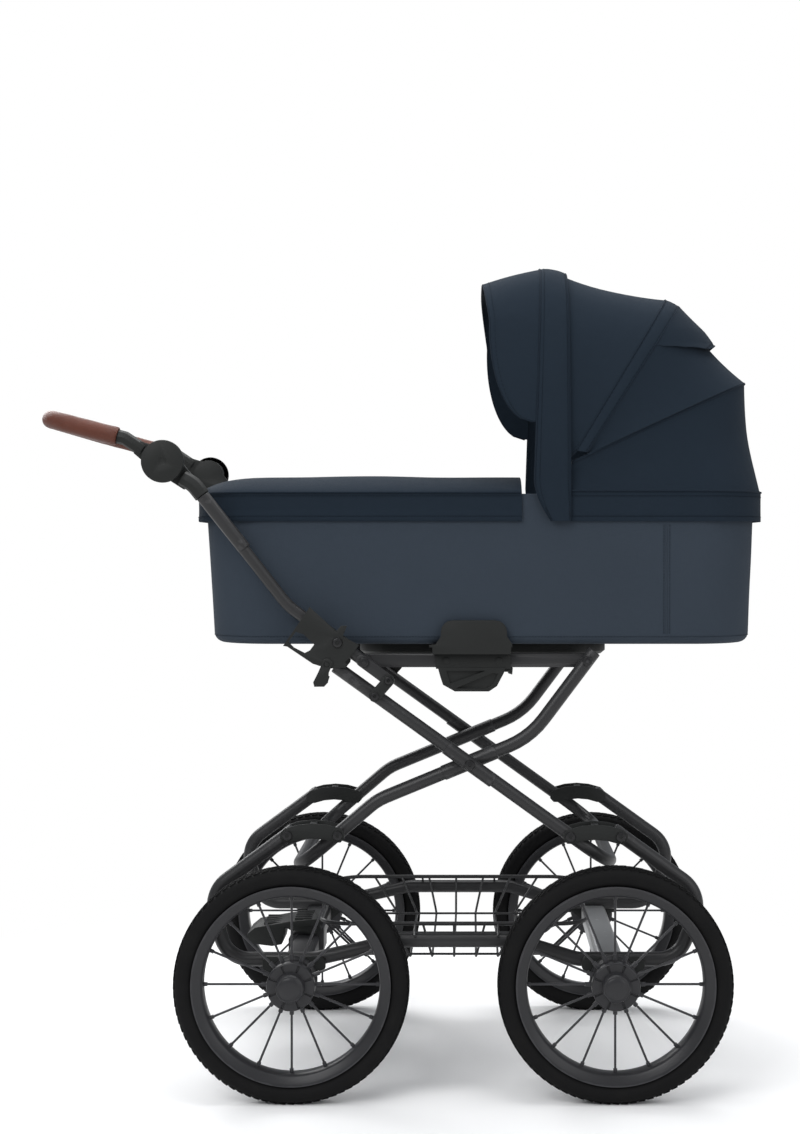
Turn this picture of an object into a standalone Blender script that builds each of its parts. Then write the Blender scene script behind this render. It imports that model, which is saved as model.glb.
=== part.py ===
"""A folding pram with a carrycot: a scissor chassis on four wheels, a swinging handle and a hood.

The handle end is at -X, the hood end at +X, and the near side at -Y.
"""
import math

import bmesh
import bpy
from mathutils import Matrix, Vector

# Everything is drawn in metres from the middle of the wheelbase, at floor height.

# Fits between pieces
GAP = 0.0003
RUNNING = 0.0006
FACE_GAP = 0.0005

# Wheels
WHEELBASE = 0.488
TRACK = 0.530
WHEEL_RADIUS = 0.178
WHEEL_SIDES = 32
TYRE_HEIGHT = 0.0287
TYRE_WIDTH = 0.043
TREAD_WIDTH = 0.014
RIM_WIDTH = 0.037
RIM_DEPTH = 0.0155
HUB_RADIUS = 0.0365
HUB_WAIST = 0.0315
HUB_INBOARD = 0.030
HUB_OUTBOARD = 0.020
HUB_SIDES = 12
SPOKE_COUNT = 16
SPOKE_WIDTH = 0.003
SPOKE_DEPTH = 0.005
CAP_RADIUS = 0.0215
CAP_HEIGHT = 0.0135

# Axles and their brackets
AXLE_RADIUS = 0.006
AXLE_END_IN_HUB = 0.003
BEAM_WIDTH = 0.042
BEAM_HEIGHT = 0.025
BEAM_TOP = WHEEL_RADIUS + 0.022
BEAM_WALL = 0.004
BRACKET_THICKNESS = 0.0105

# Tubes of the undercarriage and of the folding frame
SIDE_TUBE_Y = 0.2125
SIDE_TUBE_RADIUS = 0.011
SIDE_TUBE_Z = WHEEL_RADIUS + 0.0255
SIDE_TUBE_ARCH = 0.0291
SIDE_ARCH_FROM = -0.085
SIDE_ARCH_TO = 0.095
FRAME_A_Y = 0.2245
FRAME_A_RADIUS = 0.010
FRAME_B_Y = 0.201
FRAME_B_RADIUS = 0.0105
SLEEVE_WALL = 0.0012
SLEEVE_LENGTH = 0.090

# Pivots of the folding frame, as x and z
REAR_FOOT = (-0.255, 0.3955)
FRONT_FOOT = (0.255, 0.3955)
LINK_LENGTH = 0.077
REAR_KNEE = (REAR_FOOT[0] + LINK_LENGTH, REAR_FOOT[1])
FRONT_KNEE = (FRONT_FOOT[0] - LINK_LENGTH, FRONT_FOOT[1])
CROSSING = (0.0246, 0.505)
RAIL_Z = 0.6615
RAIL_FRONT = (0.206, RAIL_Z)
RAIL_REAR = (-0.1366, RAIL_Z)
BRACE_TOP = (-0.0992, 0.634)
BRACE_FOOT = (-0.120, 0.610)
PIN_RADIUS = 0.004
PIN_SIDES = 8

# Links between the undercarriage and the folding frame
LINK_RISE = 0.007
LINK_HALF_HEIGHT = 0.0115
LINK_PLATE = 0.003
LINK_WEB = 0.011
BOLT_HEAD_RADIUS = 0.0075
BOLT_HEAD_HEIGHT = 0.003

# Folding frame: the near side's corners, as x, y and z
FRAME_CORNER = 0.060
FRAME_A_TOP = (-0.182, -FRAME_A_Y, 0.655)
FRAME_A_CORNER = (0.244, -FRAME_A_Y, 0.3487)
FRAME_B_TOP = (0.2176, -FRAME_B_Y, 0.6766)
FRAME_B_BEND = (0.1176, -FRAME_B_Y, 0.5435)
FRAME_B_LOW_BEND = (-0.1185, -FRAME_B_Y, 0.4463)
FRAME_B_CORNER = (-0.243, -FRAME_B_Y, 0.340)

# Seat frame and adapters
RAIL_Y = 0.184
RAIL_WIDTH = 0.012
RAIL_HEIGHT = 0.021
RAIL_FROM = -0.147
RAIL_TO = 0.216
TIE_X = 0.032
TIE_RADIUS = 0.008
BUSH_RADIUS = 0.010
ADAPTER_WALL = 0.0035
ADAPTER_DEPTH = 0.029
ADAPTER_FLOOR = 0.6137
ADAPTER_RECESS = 0.004
TAB_Y = 0.184
TAB_FROM = 0.060
TAB_TO = 0.0905
TAB_HEIGHT = 0.007
TAB_TRAVEL = 0.003

# Push frame and handle
PUSH_Y = 0.2245
PUSH_RADIUS = 0.009
PUSH_SLEEVE = (-0.320, 0.8344)
PUSH_TOP = (-0.385, 0.916)
PUSH_SLOPE = Vector((BRACE_TOP[0] - RAIL_REAR[0], BRACE_TOP[1] - RAIL_REAR[1])).normalized()
STRAP_OUTER = PUSH_Y + PUSH_RADIUS + 0.0043
LOCK_REACH = 0.0505
LOCK_BOLT = tuple(Vector(RAIL_REAR) - PUSH_SLOPE * LOCK_REACH)
PUSH_STRAIGHT = 0.1464
PUSH_BEND = tuple(Vector(RAIL_REAR) - PUSH_SLOPE * PUSH_STRAIGHT)
LOCK_WALL = 0.003
LEVER_PIVOT = (0.0065, -0.036)
HANDLE_PIVOT = (-0.4435, 0.968)
SOCKET_RADIUS = 0.0125
KNUCKLE_RADIUS = 0.026
KNUCKLE_SPLIT = 0.224
ARM_KNUCKLE = 0.014
COVER_RADIUS = 0.0323
COVER_DEPTH = 0.007
ARM_RADIUS = 0.011
ARM_END = (-0.5135, 1.0065)
GRIP_CORNER = (-0.627, 1.0360)
GRIP_RADIUS = 0.0142
GRIP_BEND = 0.055

# Carrycot: tub, tray and covers
TUB_LOW = 0.6869
TUB_TOP = 0.920
TUB_REAR_TOP = -0.397
TUB_REAR_LOW = -0.383
TUB_FRONT_TOP = 0.478
TUB_FRONT_LOW = 0.469
TUB_HALF_TOP = 0.205
TUB_HALF_LOW = 0.2005
TUB_CORNER = 0.100
TUB_WALL = 0.007
TUB_FLOOR = 0.009
TRAY_FROM = -0.152
TRAY_TO = 0.242
TRAY_HALF = 0.150
EAR_OUTER = TUB_HALF_LOW + 0.0113
CLOTH_WALL = 0.003
SKIRT_LOW = 0.8776
SKIRT_FLARE = 0.008
RIM_Z = TUB_TOP + 0.005
APRON_END = 0.105
APRON_SPINE = 0.120
APRON_CROWN = 0.9525

# Hood: (x, z) of the feet and crowns of its arches, from the front band to the rear bow
HOOD_PIVOT = (0.158, 0.902)
HOOD_PIN_RADIUS = 0.005
HOOD_POWER = 4.0
HOOD_SINK = HOOD_PIVOT[1] - SKIRT_LOW
HOOD_HALF = TUB_HALF_TOP + GAP + CLOTH_WALL
HOOD_SAG = 0.008
BAND_WALL = 0.003
BAND_CLEARANCE = 0.0017
BAND_OUTER = HOOD_HALF + BAND_CLEARANCE + BAND_WALL
BAND_FOOT = (0.1226, SKIRT_LOW)
BAND_REAR_FOOT = (0.180, SKIRT_LOW)
BAND_CROWN = (0.137, 1.288)
BAND_REAR_CROWN = (0.178, 1.281)
BOW_FOOT = (0.1885, 0.9865)
BOW_REAR_FOOT = (0.205, 0.9840)
BOW_CROWN = (0.341, 1.2385)
BOW_REAR_CROWN = (0.3625, 1.2280)
PANEL_FRONT_FOOT = (0.1798, 0.9735)
PANEL_FRONT_REAR_FOOT = (0.1875, 0.9860)
PANEL_FRONT_CROWN = (0.1783, 1.2770)
PANEL_FRONT_REAR_CROWN = (0.3396, 1.2385)
PANEL_REAR_FOOT = (0.2065, 0.9845)
PANEL_REAR_CROWN = (0.3640, 1.2272)
PANEL_REAR_LOW_FOOT = (0.2065, 0.9815)
PANEL_REAR_LOW_CROWN = (0.4695, 1.1035)
REAR_BOW_FOOT = (0.1822, 0.9680)
REAR_BOW_CROWN = (0.4700, 1.1020)
HOOD_REAR_START = 0.1822
HOOD_REAR_FULLNESS = 0.004
VISOR_START = 8.0
VISOR_FULL_Z = 1.190
VISOR_DEPTH = 0.077
VISOR_PEAK = 0.015
VISOR_DROP = 0.025

# Basket
BASKET_TOP_Z = 0.2535
BASKET_FLOOR_Z = 0.195
BASKET_TOP_X = 0.209
BASKET_TOP_Y = 0.192
BASKET_FLOOR_X = 0.137
BASKET_FLOOR_Y = 0.165
BASKET_CORNER = 0.045
BASKET_WIRE = 0.0018
BASKET_RIM_WIRE = 0.0030
BASKET_HOOPS = 9
BASKET_PITCH = 0.0482
BASKET_HOOKS = (-0.060, 0.068)

# Brake on the rear axle
BRAKE_HALF_WIDTH = 0.030
BRAKE_PEDAL_WALL = 0.008
BRAKE_PIVOT = (0.014 - WHEELBASE / 2.0, BEAM_TOP + 0.011)
PEDAL_REACH = 0.111

SIDES = (("near", -1.0), ("far", 1.0))
ENDS = (("rear", -1.0), ("front", 1.0))

NODES = bpy.data.collections.new("folding_pram")
CUTTERS = bpy.data.collections.new("pram_cutters")


# Small helpers for outlines and paths

def arc(centre, radius, start, end, steps):
    """Points on an arc in the X-Z plane, with angles in degrees from +X towards +Z."""
    points = []
    for index in range(steps + 1):
        angle = math.radians(start + (end - start) * index / steps)
        points.append((centre[0] + radius * math.cos(angle), centre[1] + radius * math.sin(angle)))
    return points


def rounded(corners, step=22.5):
    """A path through 3-D corners (x, y, z, radius), each drawn as an arc with a point per step."""
    path = []
    for place, corner in enumerate(corners):
        here = Vector(corner[:3])
        radius = corner[3]
        if radius == 0.0:
            path.append(here)
            continue
        back = (Vector(corners[place - 1][:3]) - here).normalized()
        ahead = (Vector(corners[(place + 1) % len(corners)][:3]) - here).normalized()
        half = back.angle(ahead) / 2.0
        reach = radius / math.tan(half)
        centre = here + (back + ahead).normalized() * (radius / math.sin(half))
        first = here + back * reach - centre
        last = here + ahead * reach - centre
        sweep = first.angle(last)
        axis = first.cross(last).normalized()
        count = max(1, round(math.degrees(sweep) / step))
        for index in range(count + 1):
            path.append(centre + Matrix.Rotation(sweep * index / count, 3, axis) @ first)
    return path


def around(centre, offsets):
    """The x and z of points that are given by their distance from a centre."""
    return [(centre[0] + x, centre[1] + z) for x, z in offsets]


def along(start, end, share):
    """The x and z of a point between two others."""
    return (start[0] + (end[0] - start[0]) * share, start[1] + (end[1] - start[1]) * share)


# Helpers that make objects

def material(name, colour, roughness, metallic=0.0):
    """A Principled material, made once and shared."""
    if name in bpy.data.materials:
        return bpy.data.materials[name]
    made = bpy.data.materials.new(name)
    made.use_nodes = True
    shader = made.node_tree.nodes["Principled BSDF"]
    shader.inputs["Base Color"].default_value = (*colour, 1.0)
    shader.inputs["Roughness"].default_value = roughness
    shader.inputs["Metallic"].default_value = metallic
    return made


def link(name, data, collection=NODES):
    """A new object in one of the two collections."""
    made = bpy.data.objects.new(name, data)
    collection.objects.link(made)
    return made


def tube(name, path, radius, resolution=2, cyclic=False, widths=None):
    """A round bar along a path: a curve with a bevel and filled caps."""
    curve = bpy.data.curves.new(name, "CURVE")
    curve.dimensions = "3D"
    curve.bevel_depth = radius
    curve.bevel_resolution = resolution
    curve.use_fill_caps = True
    spline = curve.splines.new("POLY")
    spline.points.add(len(path) - 1)
    spline.use_cyclic_u = cyclic
    for index, place in enumerate(path):
        spline.points[index].co = (*place, 1.0)
        if widths:
            spline.points[index].radius = widths[index]
    return link(name, curve)


def plate(name, outline, y_from, y_to):
    """A flat outline in the X-Z plane, given as (x, z), extruded between two y values."""
    curve = bpy.data.curves.new(name, "CURVE")
    curve.dimensions = "2D"
    curve.fill_mode = "BOTH"
    curve.extrude = abs(y_to - y_from) / 2.0
    spline = curve.splines.new("POLY")
    spline.points.add(len(outline) - 1)
    spline.use_cyclic_u = True
    for index, (x, z) in enumerate(outline):
        spline.points[index].co = (x, z, 0.0, 1.0)
    made = link(name, curve)
    made.rotation_euler = (math.pi / 2.0, 0.0, 0.0)
    made.location = (0.0, (y_from + y_to) / 2.0, 0.0)
    return solid(made)


def block(name, low, high):
    """A box between two corners."""
    size = Vector(high) - Vector(low)
    shape = bmesh.new()
    bmesh.ops.create_cube(shape, size=1.0)
    bmesh.ops.scale(shape, vec=size, verts=shape.verts)
    bmesh.ops.translate(shape, vec=(Vector(high) + Vector(low)) / 2.0, verts=shape.verts)
    mesh = bpy.data.meshes.new(name)
    shape.to_mesh(mesh)
    shape.free()
    return link(name, mesh)


def rod(name, place, y_from, y_to, radius, sides=PIN_SIDES):
    """A round bar along Y at (x, z)."""
    shape = bmesh.new()
    bmesh.ops.create_cone(shape, cap_ends=True, segments=sides, radius1=radius, radius2=radius,
                          depth=abs(y_to - y_from))
    turn = Matrix.Rotation(math.pi / 2.0, 4, "X") @ Matrix.Rotation(math.pi / sides, 4, "Z")
    bmesh.ops.transform(shape, matrix=turn, verts=shape.verts)
    middle = (place[0], (y_from + y_to) / 2.0, place[1])
    bmesh.ops.translate(shape, vec=middle, verts=shape.verts)
    mesh = bpy.data.meshes.new(name)
    shape.to_mesh(mesh)
    shape.free()
    return link(name, mesh)


def turned(name, profile, sides, ring=True):
    """A profile of (radius, height) turned about Z, with a flat facet in line with -Y."""
    phase = math.pi / sides
    points = [(r * math.cos(phase), r * math.sin(phase), height) for r, height in profile]
    edges = [(index, index + 1) for index in range(len(points) - 1)]
    if ring:
        edges.append((len(points) - 1, 0))
    mesh = bpy.data.meshes.new(name)
    mesh.from_pydata(points, edges, [])
    made = link(name, mesh)
    screw = made.modifiers.new("turn", "SCREW")
    screw.steps = sides
    screw.render_steps = sides
    screw.use_merge_vertices = True
    screw.merge_threshold = 0.00001
    screw.use_normal_calculate = True
    return made


def loft(name, rings, capped=True):
    """A closed skin through rings that have the same number of points each."""
    shape = bmesh.new()
    rows = [[shape.verts.new(point) for point in ring] for ring in rings]
    count = len(rows[0])
    for below, above in zip(rows, rows[1:]):
        for index in range(count):
            after = (index + 1) % count
            shape.faces.new((below[index], below[after], above[after], above[index]))
    if capped:
        shape.faces.new(rows[0])
        shape.faces.new(rows[-1])
    bmesh.ops.recalc_face_normals(shape, faces=shape.faces)
    mesh = bpy.data.meshes.new(name)
    shape.to_mesh(mesh)
    shape.free()
    return link(name, mesh)


def solid(source):
    """Swap a curve or a modified object for the welded mesh that it shows."""
    bpy.context.view_layer.update()
    scene_graph = bpy.context.evaluated_depsgraph_get()
    mesh = bpy.data.meshes.new_from_object(source.evaluated_get(scene_graph))
    shape = bmesh.new()
    shape.from_mesh(mesh)
    bmesh.ops.remove_doubles(shape, verts=shape.verts, dist=0.00001)
    bmesh.ops.recalc_face_normals(shape, faces=shape.faces)
    shape.to_mesh(mesh)
    shape.free()
    name = source.name
    place = source.matrix_world.copy()
    bpy.data.objects.remove(source)
    made = link(name, mesh)
    made.name = name
    made.matrix_world = place
    return made


def boolean(body, operation, other):
    """Add a Boolean modifier with another mesh."""
    change = body.modifiers.new(operation.lower(), "BOOLEAN")
    change.operation = operation
    change.solver = "EXACT"
    change.object = other


def combine(base, operation, others):
    """Apply a Boolean with each of the others, which are used up."""
    base = solid(base) if base.type == "CURVE" else base
    others = [solid(other) if other.type == "CURVE" else other for other in others]
    for other in others:
        boolean(base, operation, other)
    made = solid(base)
    for other in others:
        bpy.data.objects.remove(other)
    return made


def join(base, *others):
    """One closed body from pieces that overlap."""
    return combine(base, "UNION", others)


def cut(base, *cutters):
    """Take cutters out of a body, and use them up."""
    return combine(base, "DIFFERENCE", cutters)


def drill(body, *cutters):
    """Take cutters out of a body, and keep them beside it as hidden guides."""
    body = solid(body) if body.type == "CURVE" else body
    for cutter in cutters:
        NODES.objects.unlink(cutter)
        CUTTERS.objects.link(cutter)
        cutter.hide_render = True
        cutter.display_type = "WIRE"
        boolean(body, "DIFFERENCE", cutter)
    return body


def hang(body, pivot):
    """Parent a piece to the pivot that it moves with, and leave it where it was drawn."""
    body.parent = pivot
    if pivot.parent:
        body.matrix_parent_inverse = Matrix.Translation(-pivot.location)


def finish(body, look, pivot, angle=35.0):
    """Give a piece its material and its shading, and hang it on its pivot."""
    body = solid(body) if body.type == "CURVE" else body
    body.data.materials.clear()
    body.data.materials.append(look)
    body.data.shade_smooth()
    body.data.set_sharp_from_angle(angle=math.radians(angle))
    hang(body, pivot)
    for change in body.modifiers:
        if change.type == "BOOLEAN":
            hang(change.object, pivot)
    return body


def pivot_at(name, place, parent):
    """An empty on a joint's axis, which runs along Y."""
    made = link(name, None, CUTTERS)
    made.empty_display_size = 0.03
    made.location = (place[0], 0.0, place[1])
    made.parent = parent
    return made


# Wheels

def make_tyre():
    """A plump tyre with a flat tread band, seated on the rim."""
    outer = WHEEL_RADIUS / math.cos(math.pi / WHEEL_SIDES)
    seat = WHEEL_RADIUS - TYRE_HEIGHT
    half = TYRE_WIDTH / 2.0
    profile = [(outer, TREAD_WIDTH / 2.0), (outer, -TREAD_WIDTH / 2.0), (outer - 0.005, -half * 0.76),
               (seat + 0.0115, -half), (seat, -half * 0.76)]
    profile += [(radius, -height) for radius, height in reversed(profile[2:])]
    return solid(turned("tyre", profile, WHEEL_SIDES))


def rim_radius():
    """The radius of the rim's outer edge, inside the tyre."""
    return WHEEL_RADIUS - TYRE_HEIGHT - GAP


def make_rim():
    """A rim of rounded box section."""
    outer = rim_radius()
    inner = outer - RIM_DEPTH
    half = RIM_WIDTH / 2.0
    profile = [(outer - 0.003, half), (outer, half - 0.0035), (outer, 0.0035 - half),
               (outer - 0.003, -half), (inner, 0.003 - half), (inner, half - 0.003)]
    return solid(turned("rim", profile, WHEEL_SIDES))


def make_hub():
    """A waisted hub with a bore for the axle and straight spokes out to the rim."""
    profile = [(0.0, HUB_OUTBOARD), (HUB_RADIUS - 0.0025, HUB_OUTBOARD),
               (HUB_RADIUS, HUB_OUTBOARD - 0.0025), (HUB_RADIUS, HUB_OUTBOARD - 0.011),
               (HUB_WAIST, HUB_OUTBOARD - 0.014), (HUB_WAIST, 0.008 - HUB_INBOARD),
               (HUB_RADIUS, 0.005 - HUB_INBOARD), (HUB_RADIUS, -HUB_INBOARD), (0.0, -HUB_INBOARD)]
    hub = solid(turned("hub", profile, HUB_SIDES, ring=False))
    reach = (rim_radius() - RIM_DEPTH) * math.cos(math.pi / WHEEL_SIDES) - GAP
    spokes = []
    for index in range(SPOKE_COUNT // 2):
        spoke = block("spoke", (-SPOKE_WIDTH / 2.0, -reach, -SPOKE_DEPTH / 2.0),
                      (SPOKE_WIDTH / 2.0, reach, SPOKE_DEPTH / 2.0))
        spoke.rotation_euler.z = math.tau * index / SPOKE_COUNT
        spokes.append(spoke)
    hub = join(hub, *spokes)
    bore = solid(turned("bore", [(0.0, HUB_OUTBOARD * 2.0), (AXLE_RADIUS + GAP * 2.0, HUB_OUTBOARD * 2.0),
                                 (AXLE_RADIUS + GAP * 2.0, -HUB_INBOARD * 2.0),
                                 (0.0, -HUB_INBOARD * 2.0)], HUB_SIDES, ring=False))
    return cut(hub, bore)


def make_cap():
    """A plain domed cap that stands on the hub's face."""
    low = HUB_OUTBOARD + GAP
    profile = [(0.0, low + CAP_HEIGHT), (CAP_RADIUS * 0.75, low + CAP_HEIGHT - 0.0012),
               (CAP_RADIUS, low + CAP_HEIGHT - 0.004), (CAP_RADIUS, low), (0.0, low)]
    return solid(turned("cap", profile, HUB_SIDES, ring=False))


def mesh_of(body):
    """The mesh of a pattern piece, without its object."""
    mesh = body.data
    bpy.data.objects.remove(body)
    return mesh


def make_wheels(frame):
    """Four wheels of four pieces each; every copy shares its mesh with the others."""
    rubber = material("tyre_rubber", (0.012, 0.012, 0.013), 0.75)
    painted = material("wheel_paint", (0.022, 0.022, 0.024), 0.35)
    kinds = (("tyre", mesh_of(make_tyre()), rubber), ("rim", mesh_of(make_rim()), painted),
             ("hub", mesh_of(make_hub()), painted), ("hub_cap", mesh_of(make_cap()), painted))
    for end, end_sign in ENDS:
        for side, side_sign in SIDES:
            wheel = pivot_at(f"wheel_{end}_{side}", (end_sign * WHEELBASE / 2.0, WHEEL_RADIUS), frame)
            for kind, mesh, look in kinds:
                piece = link(f"{kind}_{end}_{side}", mesh)
                piece.location = (0.0, side_sign * TRACK / 2.0, 0.0)
                piece.rotation_euler.x = -side_sign * math.pi / 2.0
                mesh.materials.clear()
                mesh.materials.append(look)
                mesh.shade_smooth()
                mesh.set_sharp_from_angle(angle=math.radians(35.0))
                piece.parent = wheel


# Undercarriage

def side_tube_path(y):
    """The tube that runs from one upper foot down round both axles and up to the other foot."""
    axle = WHEELBASE / 2.0
    crest = SIDE_TUBE_Z + SIDE_TUBE_ARCH
    rear_tip = (REAR_FOOT[0] + 0.0095, y, REAR_FOOT[1] + 0.007, 0.0)
    front_tip = (FRONT_FOOT[0] - 0.0095, y, FRONT_FOOT[1] + 0.007, 0.0)
    rear = [(-axle - 0.132, y, SIDE_TUBE_Z + 0.1025, 0.050), (-axle - 0.1054, y, SIDE_TUBE_Z, 0.045),
            (0.029 - axle, y, SIDE_TUBE_Z, 0.060), (SIDE_ARCH_FROM, y, crest, 0.060)]
    front = [(SIDE_ARCH_TO, y, crest, 0.060), (axle - 0.054, y, SIDE_TUBE_Z, 0.060),
             (axle + 0.101, y, SIDE_TUBE_Z, 0.045), (axle + 0.140, y, SIDE_TUBE_Z + 0.0995, 0.050)]
    return rounded([rear_tip, *rear, *front, front_tip])


def make_side_tubes(frame, paint):
    """One bent tube on each side, drilled for the rear pin."""
    for side, sign in SIDES:
        bar = tube(f"side_tube_{side}", side_tube_path(sign * SIDE_TUBE_Y), SIDE_TUBE_RADIUS)
        hole = rod(f"side_tube_hole_{side}", REAR_FOOT, sign * (SIDE_TUBE_Y - 0.02),
                   sign * (SIDE_TUBE_Y + 0.02), PIN_RADIUS + RUNNING)
        finish(drill(bar, hole), paint, frame)


def bracket_outline(x):
    """A saddle plate: wide under the tube and round at the axle."""
    axle = (x, WHEEL_RADIUS)
    shoulder = WHEEL_RADIUS + 0.034
    outline = [(x - 0.043, shoulder), (x - 0.048, shoulder - 0.006), (x - 0.048, shoulder - 0.018),
               (x - 0.024, WHEEL_RADIUS - 0.004)]
    outline += arc(axle, 0.020, 205.0, 335.0, 6)
    outline += [(x + 0.024, WHEEL_RADIUS - 0.004), (x + 0.048, shoulder - 0.018),
                (x + 0.048, shoulder - 0.006), (x + 0.043, shoulder)]
    return outline


def make_hub_brackets(frame, moulded):
    """Four saddles on the outer faces of the side tubes, bored for the axles."""
    inner = SIDE_TUBE_Y + SIDE_TUBE_RADIUS + GAP
    outer = inner + BRACKET_THICKNESS
    for end, end_sign in ENDS:
        x = end_sign * WHEELBASE / 2.0
        for side, sign in SIDES:
            saddle = plate(f"hub_bracket_{end}_{side}", bracket_outline(x), sign * inner, sign * outer)
            recess = plate("recess", arc((x, WHEEL_RADIUS + 0.002), 0.015, 0.0, 330.0, 11),
                           sign * (outer - 0.002), sign * (outer + 0.002))
            saddle = cut(saddle, recess)
            bore = rod(f"bracket_bore_{end}_{side}", (x, WHEEL_RADIUS), sign * (inner - 0.01),
                       sign * (outer + 0.01), AXLE_RADIUS + GAP * 2.0, HUB_SIDES)
            finish(drill(saddle, bore), moulded, frame)


def beam_section(x):
    """The outline of the axle's channel, open below."""
    half = BEAM_WIDTH / 2.0
    low = BEAM_TOP - BEAM_HEIGHT
    return [(x - half, low), (x - half, BEAM_TOP - 0.006), (x - half + 0.005, BEAM_TOP),
            (x + half - 0.005, BEAM_TOP), (x + half, BEAM_TOP - 0.006), (x + half, low),
            (x + half - BEAM_WALL, low), (x + half - BEAM_WALL, BEAM_TOP - BEAM_WALL),
            (x - half + BEAM_WALL, BEAM_TOP - BEAM_WALL), (x - half + BEAM_WALL, low)]


def make_axles(frame):
    """Two channels between the side tubes, each with its axle rod welded under the top."""
    silver = material("axle_paint", (0.52, 0.53, 0.54), 0.40, 0.3)
    dark = material("axle_dark", (0.022, 0.022, 0.024), 0.45)
    beam_end = SIDE_TUBE_Y - SIDE_TUBE_RADIUS - GAP
    rod_end = TRACK / 2.0 + HUB_OUTBOARD - AXLE_END_IN_HUB
    for end, end_sign in ENDS:
        x = end_sign * WHEELBASE / 2.0
        beam = plate(f"axle_{end}", beam_section(x), -beam_end, beam_end)
        axle = rod("axle", (x, WHEEL_RADIUS), -rod_end, rod_end, AXLE_RADIUS, HUB_SIDES)
        webs = []
        for y in (0.004 - beam_end, beam_end - 0.004):
            half = BEAM_WIDTH / 2.0 - BEAM_WALL / 2.0
            webs.append(block("web", (x - half, y - 0.003, WHEEL_RADIUS - 0.002),
                              (x + half, y + 0.003, BEAM_TOP - BEAM_WALL / 2.0)))
        pieces = [axle] + webs
        if end == "rear":
            pieces += brake_housing(x)
        finish(join(beam, *pieces), dark if end == "rear" else silver, frame)


def brake_housing(x):
    """The block on the rear beam that carries the pedal, with its pin."""
    top = BRAKE_PIVOT[1] + 0.0025
    low = WHEEL_RADIUS - 0.0053
    outline = [(x + 0.028, low), (x + 0.028, top - 0.004), (x + 0.024, top), (BRAKE_PIVOT[0] - 0.004, top),
               (x - 0.018, BEAM_TOP + 0.001), (x - 0.030, BEAM_TOP - 0.007), (x - 0.030, low)]
    outline += arc((x, low), 0.016, 180.0, 0.0, 4)
    housing = plate("housing", outline, -BRAKE_HALF_WIDTH, BRAKE_HALF_WIDTH)
    reach = BRAKE_HALF_WIDTH + BRAKE_PEDAL_WALL
    return [housing, rod("brake_pin", BRAKE_PIVOT, -reach, reach, PIN_RADIUS)]


def make_brake_pedal(frame, moulded):
    """A foot pedal with two rows of ribs, whose cheeks swing on the housing's pin."""
    pivot = pivot_at("brake_pivot", BRAKE_PIVOT, frame)
    inner = BRAKE_HALF_WIDTH + RUNNING
    outer = inner + BRAKE_PEDAL_WALL
    deck = around(BRAKE_PIVOT, (
        (0.006, 0.0165), (-0.042, 0.0122), (0.013 - PEDAL_REACH, 0.0024), (-PEDAL_REACH, -0.0084),
        (0.003 - PEDAL_REACH, -0.0234), (-0.070, -0.028), (-0.054, -0.025), (-0.049, 0.0025),
        (0.008, 0.0055), (0.0115, 0.011)))
    cheek = around(BRAKE_PIVOT, ((0.006, 0.0155), (-0.040, 0.0112), (-0.052, 0.007), (-0.042, -0.001)))
    cheek += arc(BRAKE_PIVOT, 0.0105, 255.0, 360.0, 4)
    pedal = plate("brake_pedal", deck, -outer, outer)
    cheeks = [plate("cheek", cheek, sign * inner, sign * outer) for _, sign in SIDES]
    ribs = []
    for row_x, row_z in around(BRAKE_PIVOT, ((-0.020, 0.0145), (-0.070, 0.0075))):
        for index in range(5):
            y = (index - 2) * 0.0145
            ribs.append(block("rib", (row_x - 0.014, y - 0.002, row_z - 0.006),
                              (row_x + 0.014, y + 0.002, row_z + 0.0022)))
    pedal = join(pedal, *cheeks, *ribs)
    hole = rod("brake_pedal_hole", BRAKE_PIVOT, -outer - 0.01, outer + 0.01, PIN_RADIUS + GAP * 2.0)
    finish(drill(pedal, hole), moulded, pivot)


def basket_ring(half_x, half_y, z):
    """A rounded rectangle at one height."""
    corners = [(-half_x, -half_y, z, BASKET_CORNER), (half_x, -half_y, z, BASKET_CORNER),
               (half_x, half_y, z, BASKET_CORNER), (-half_x, half_y, z, BASKET_CORNER)]
    return rounded(corners, 30.0)


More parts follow.
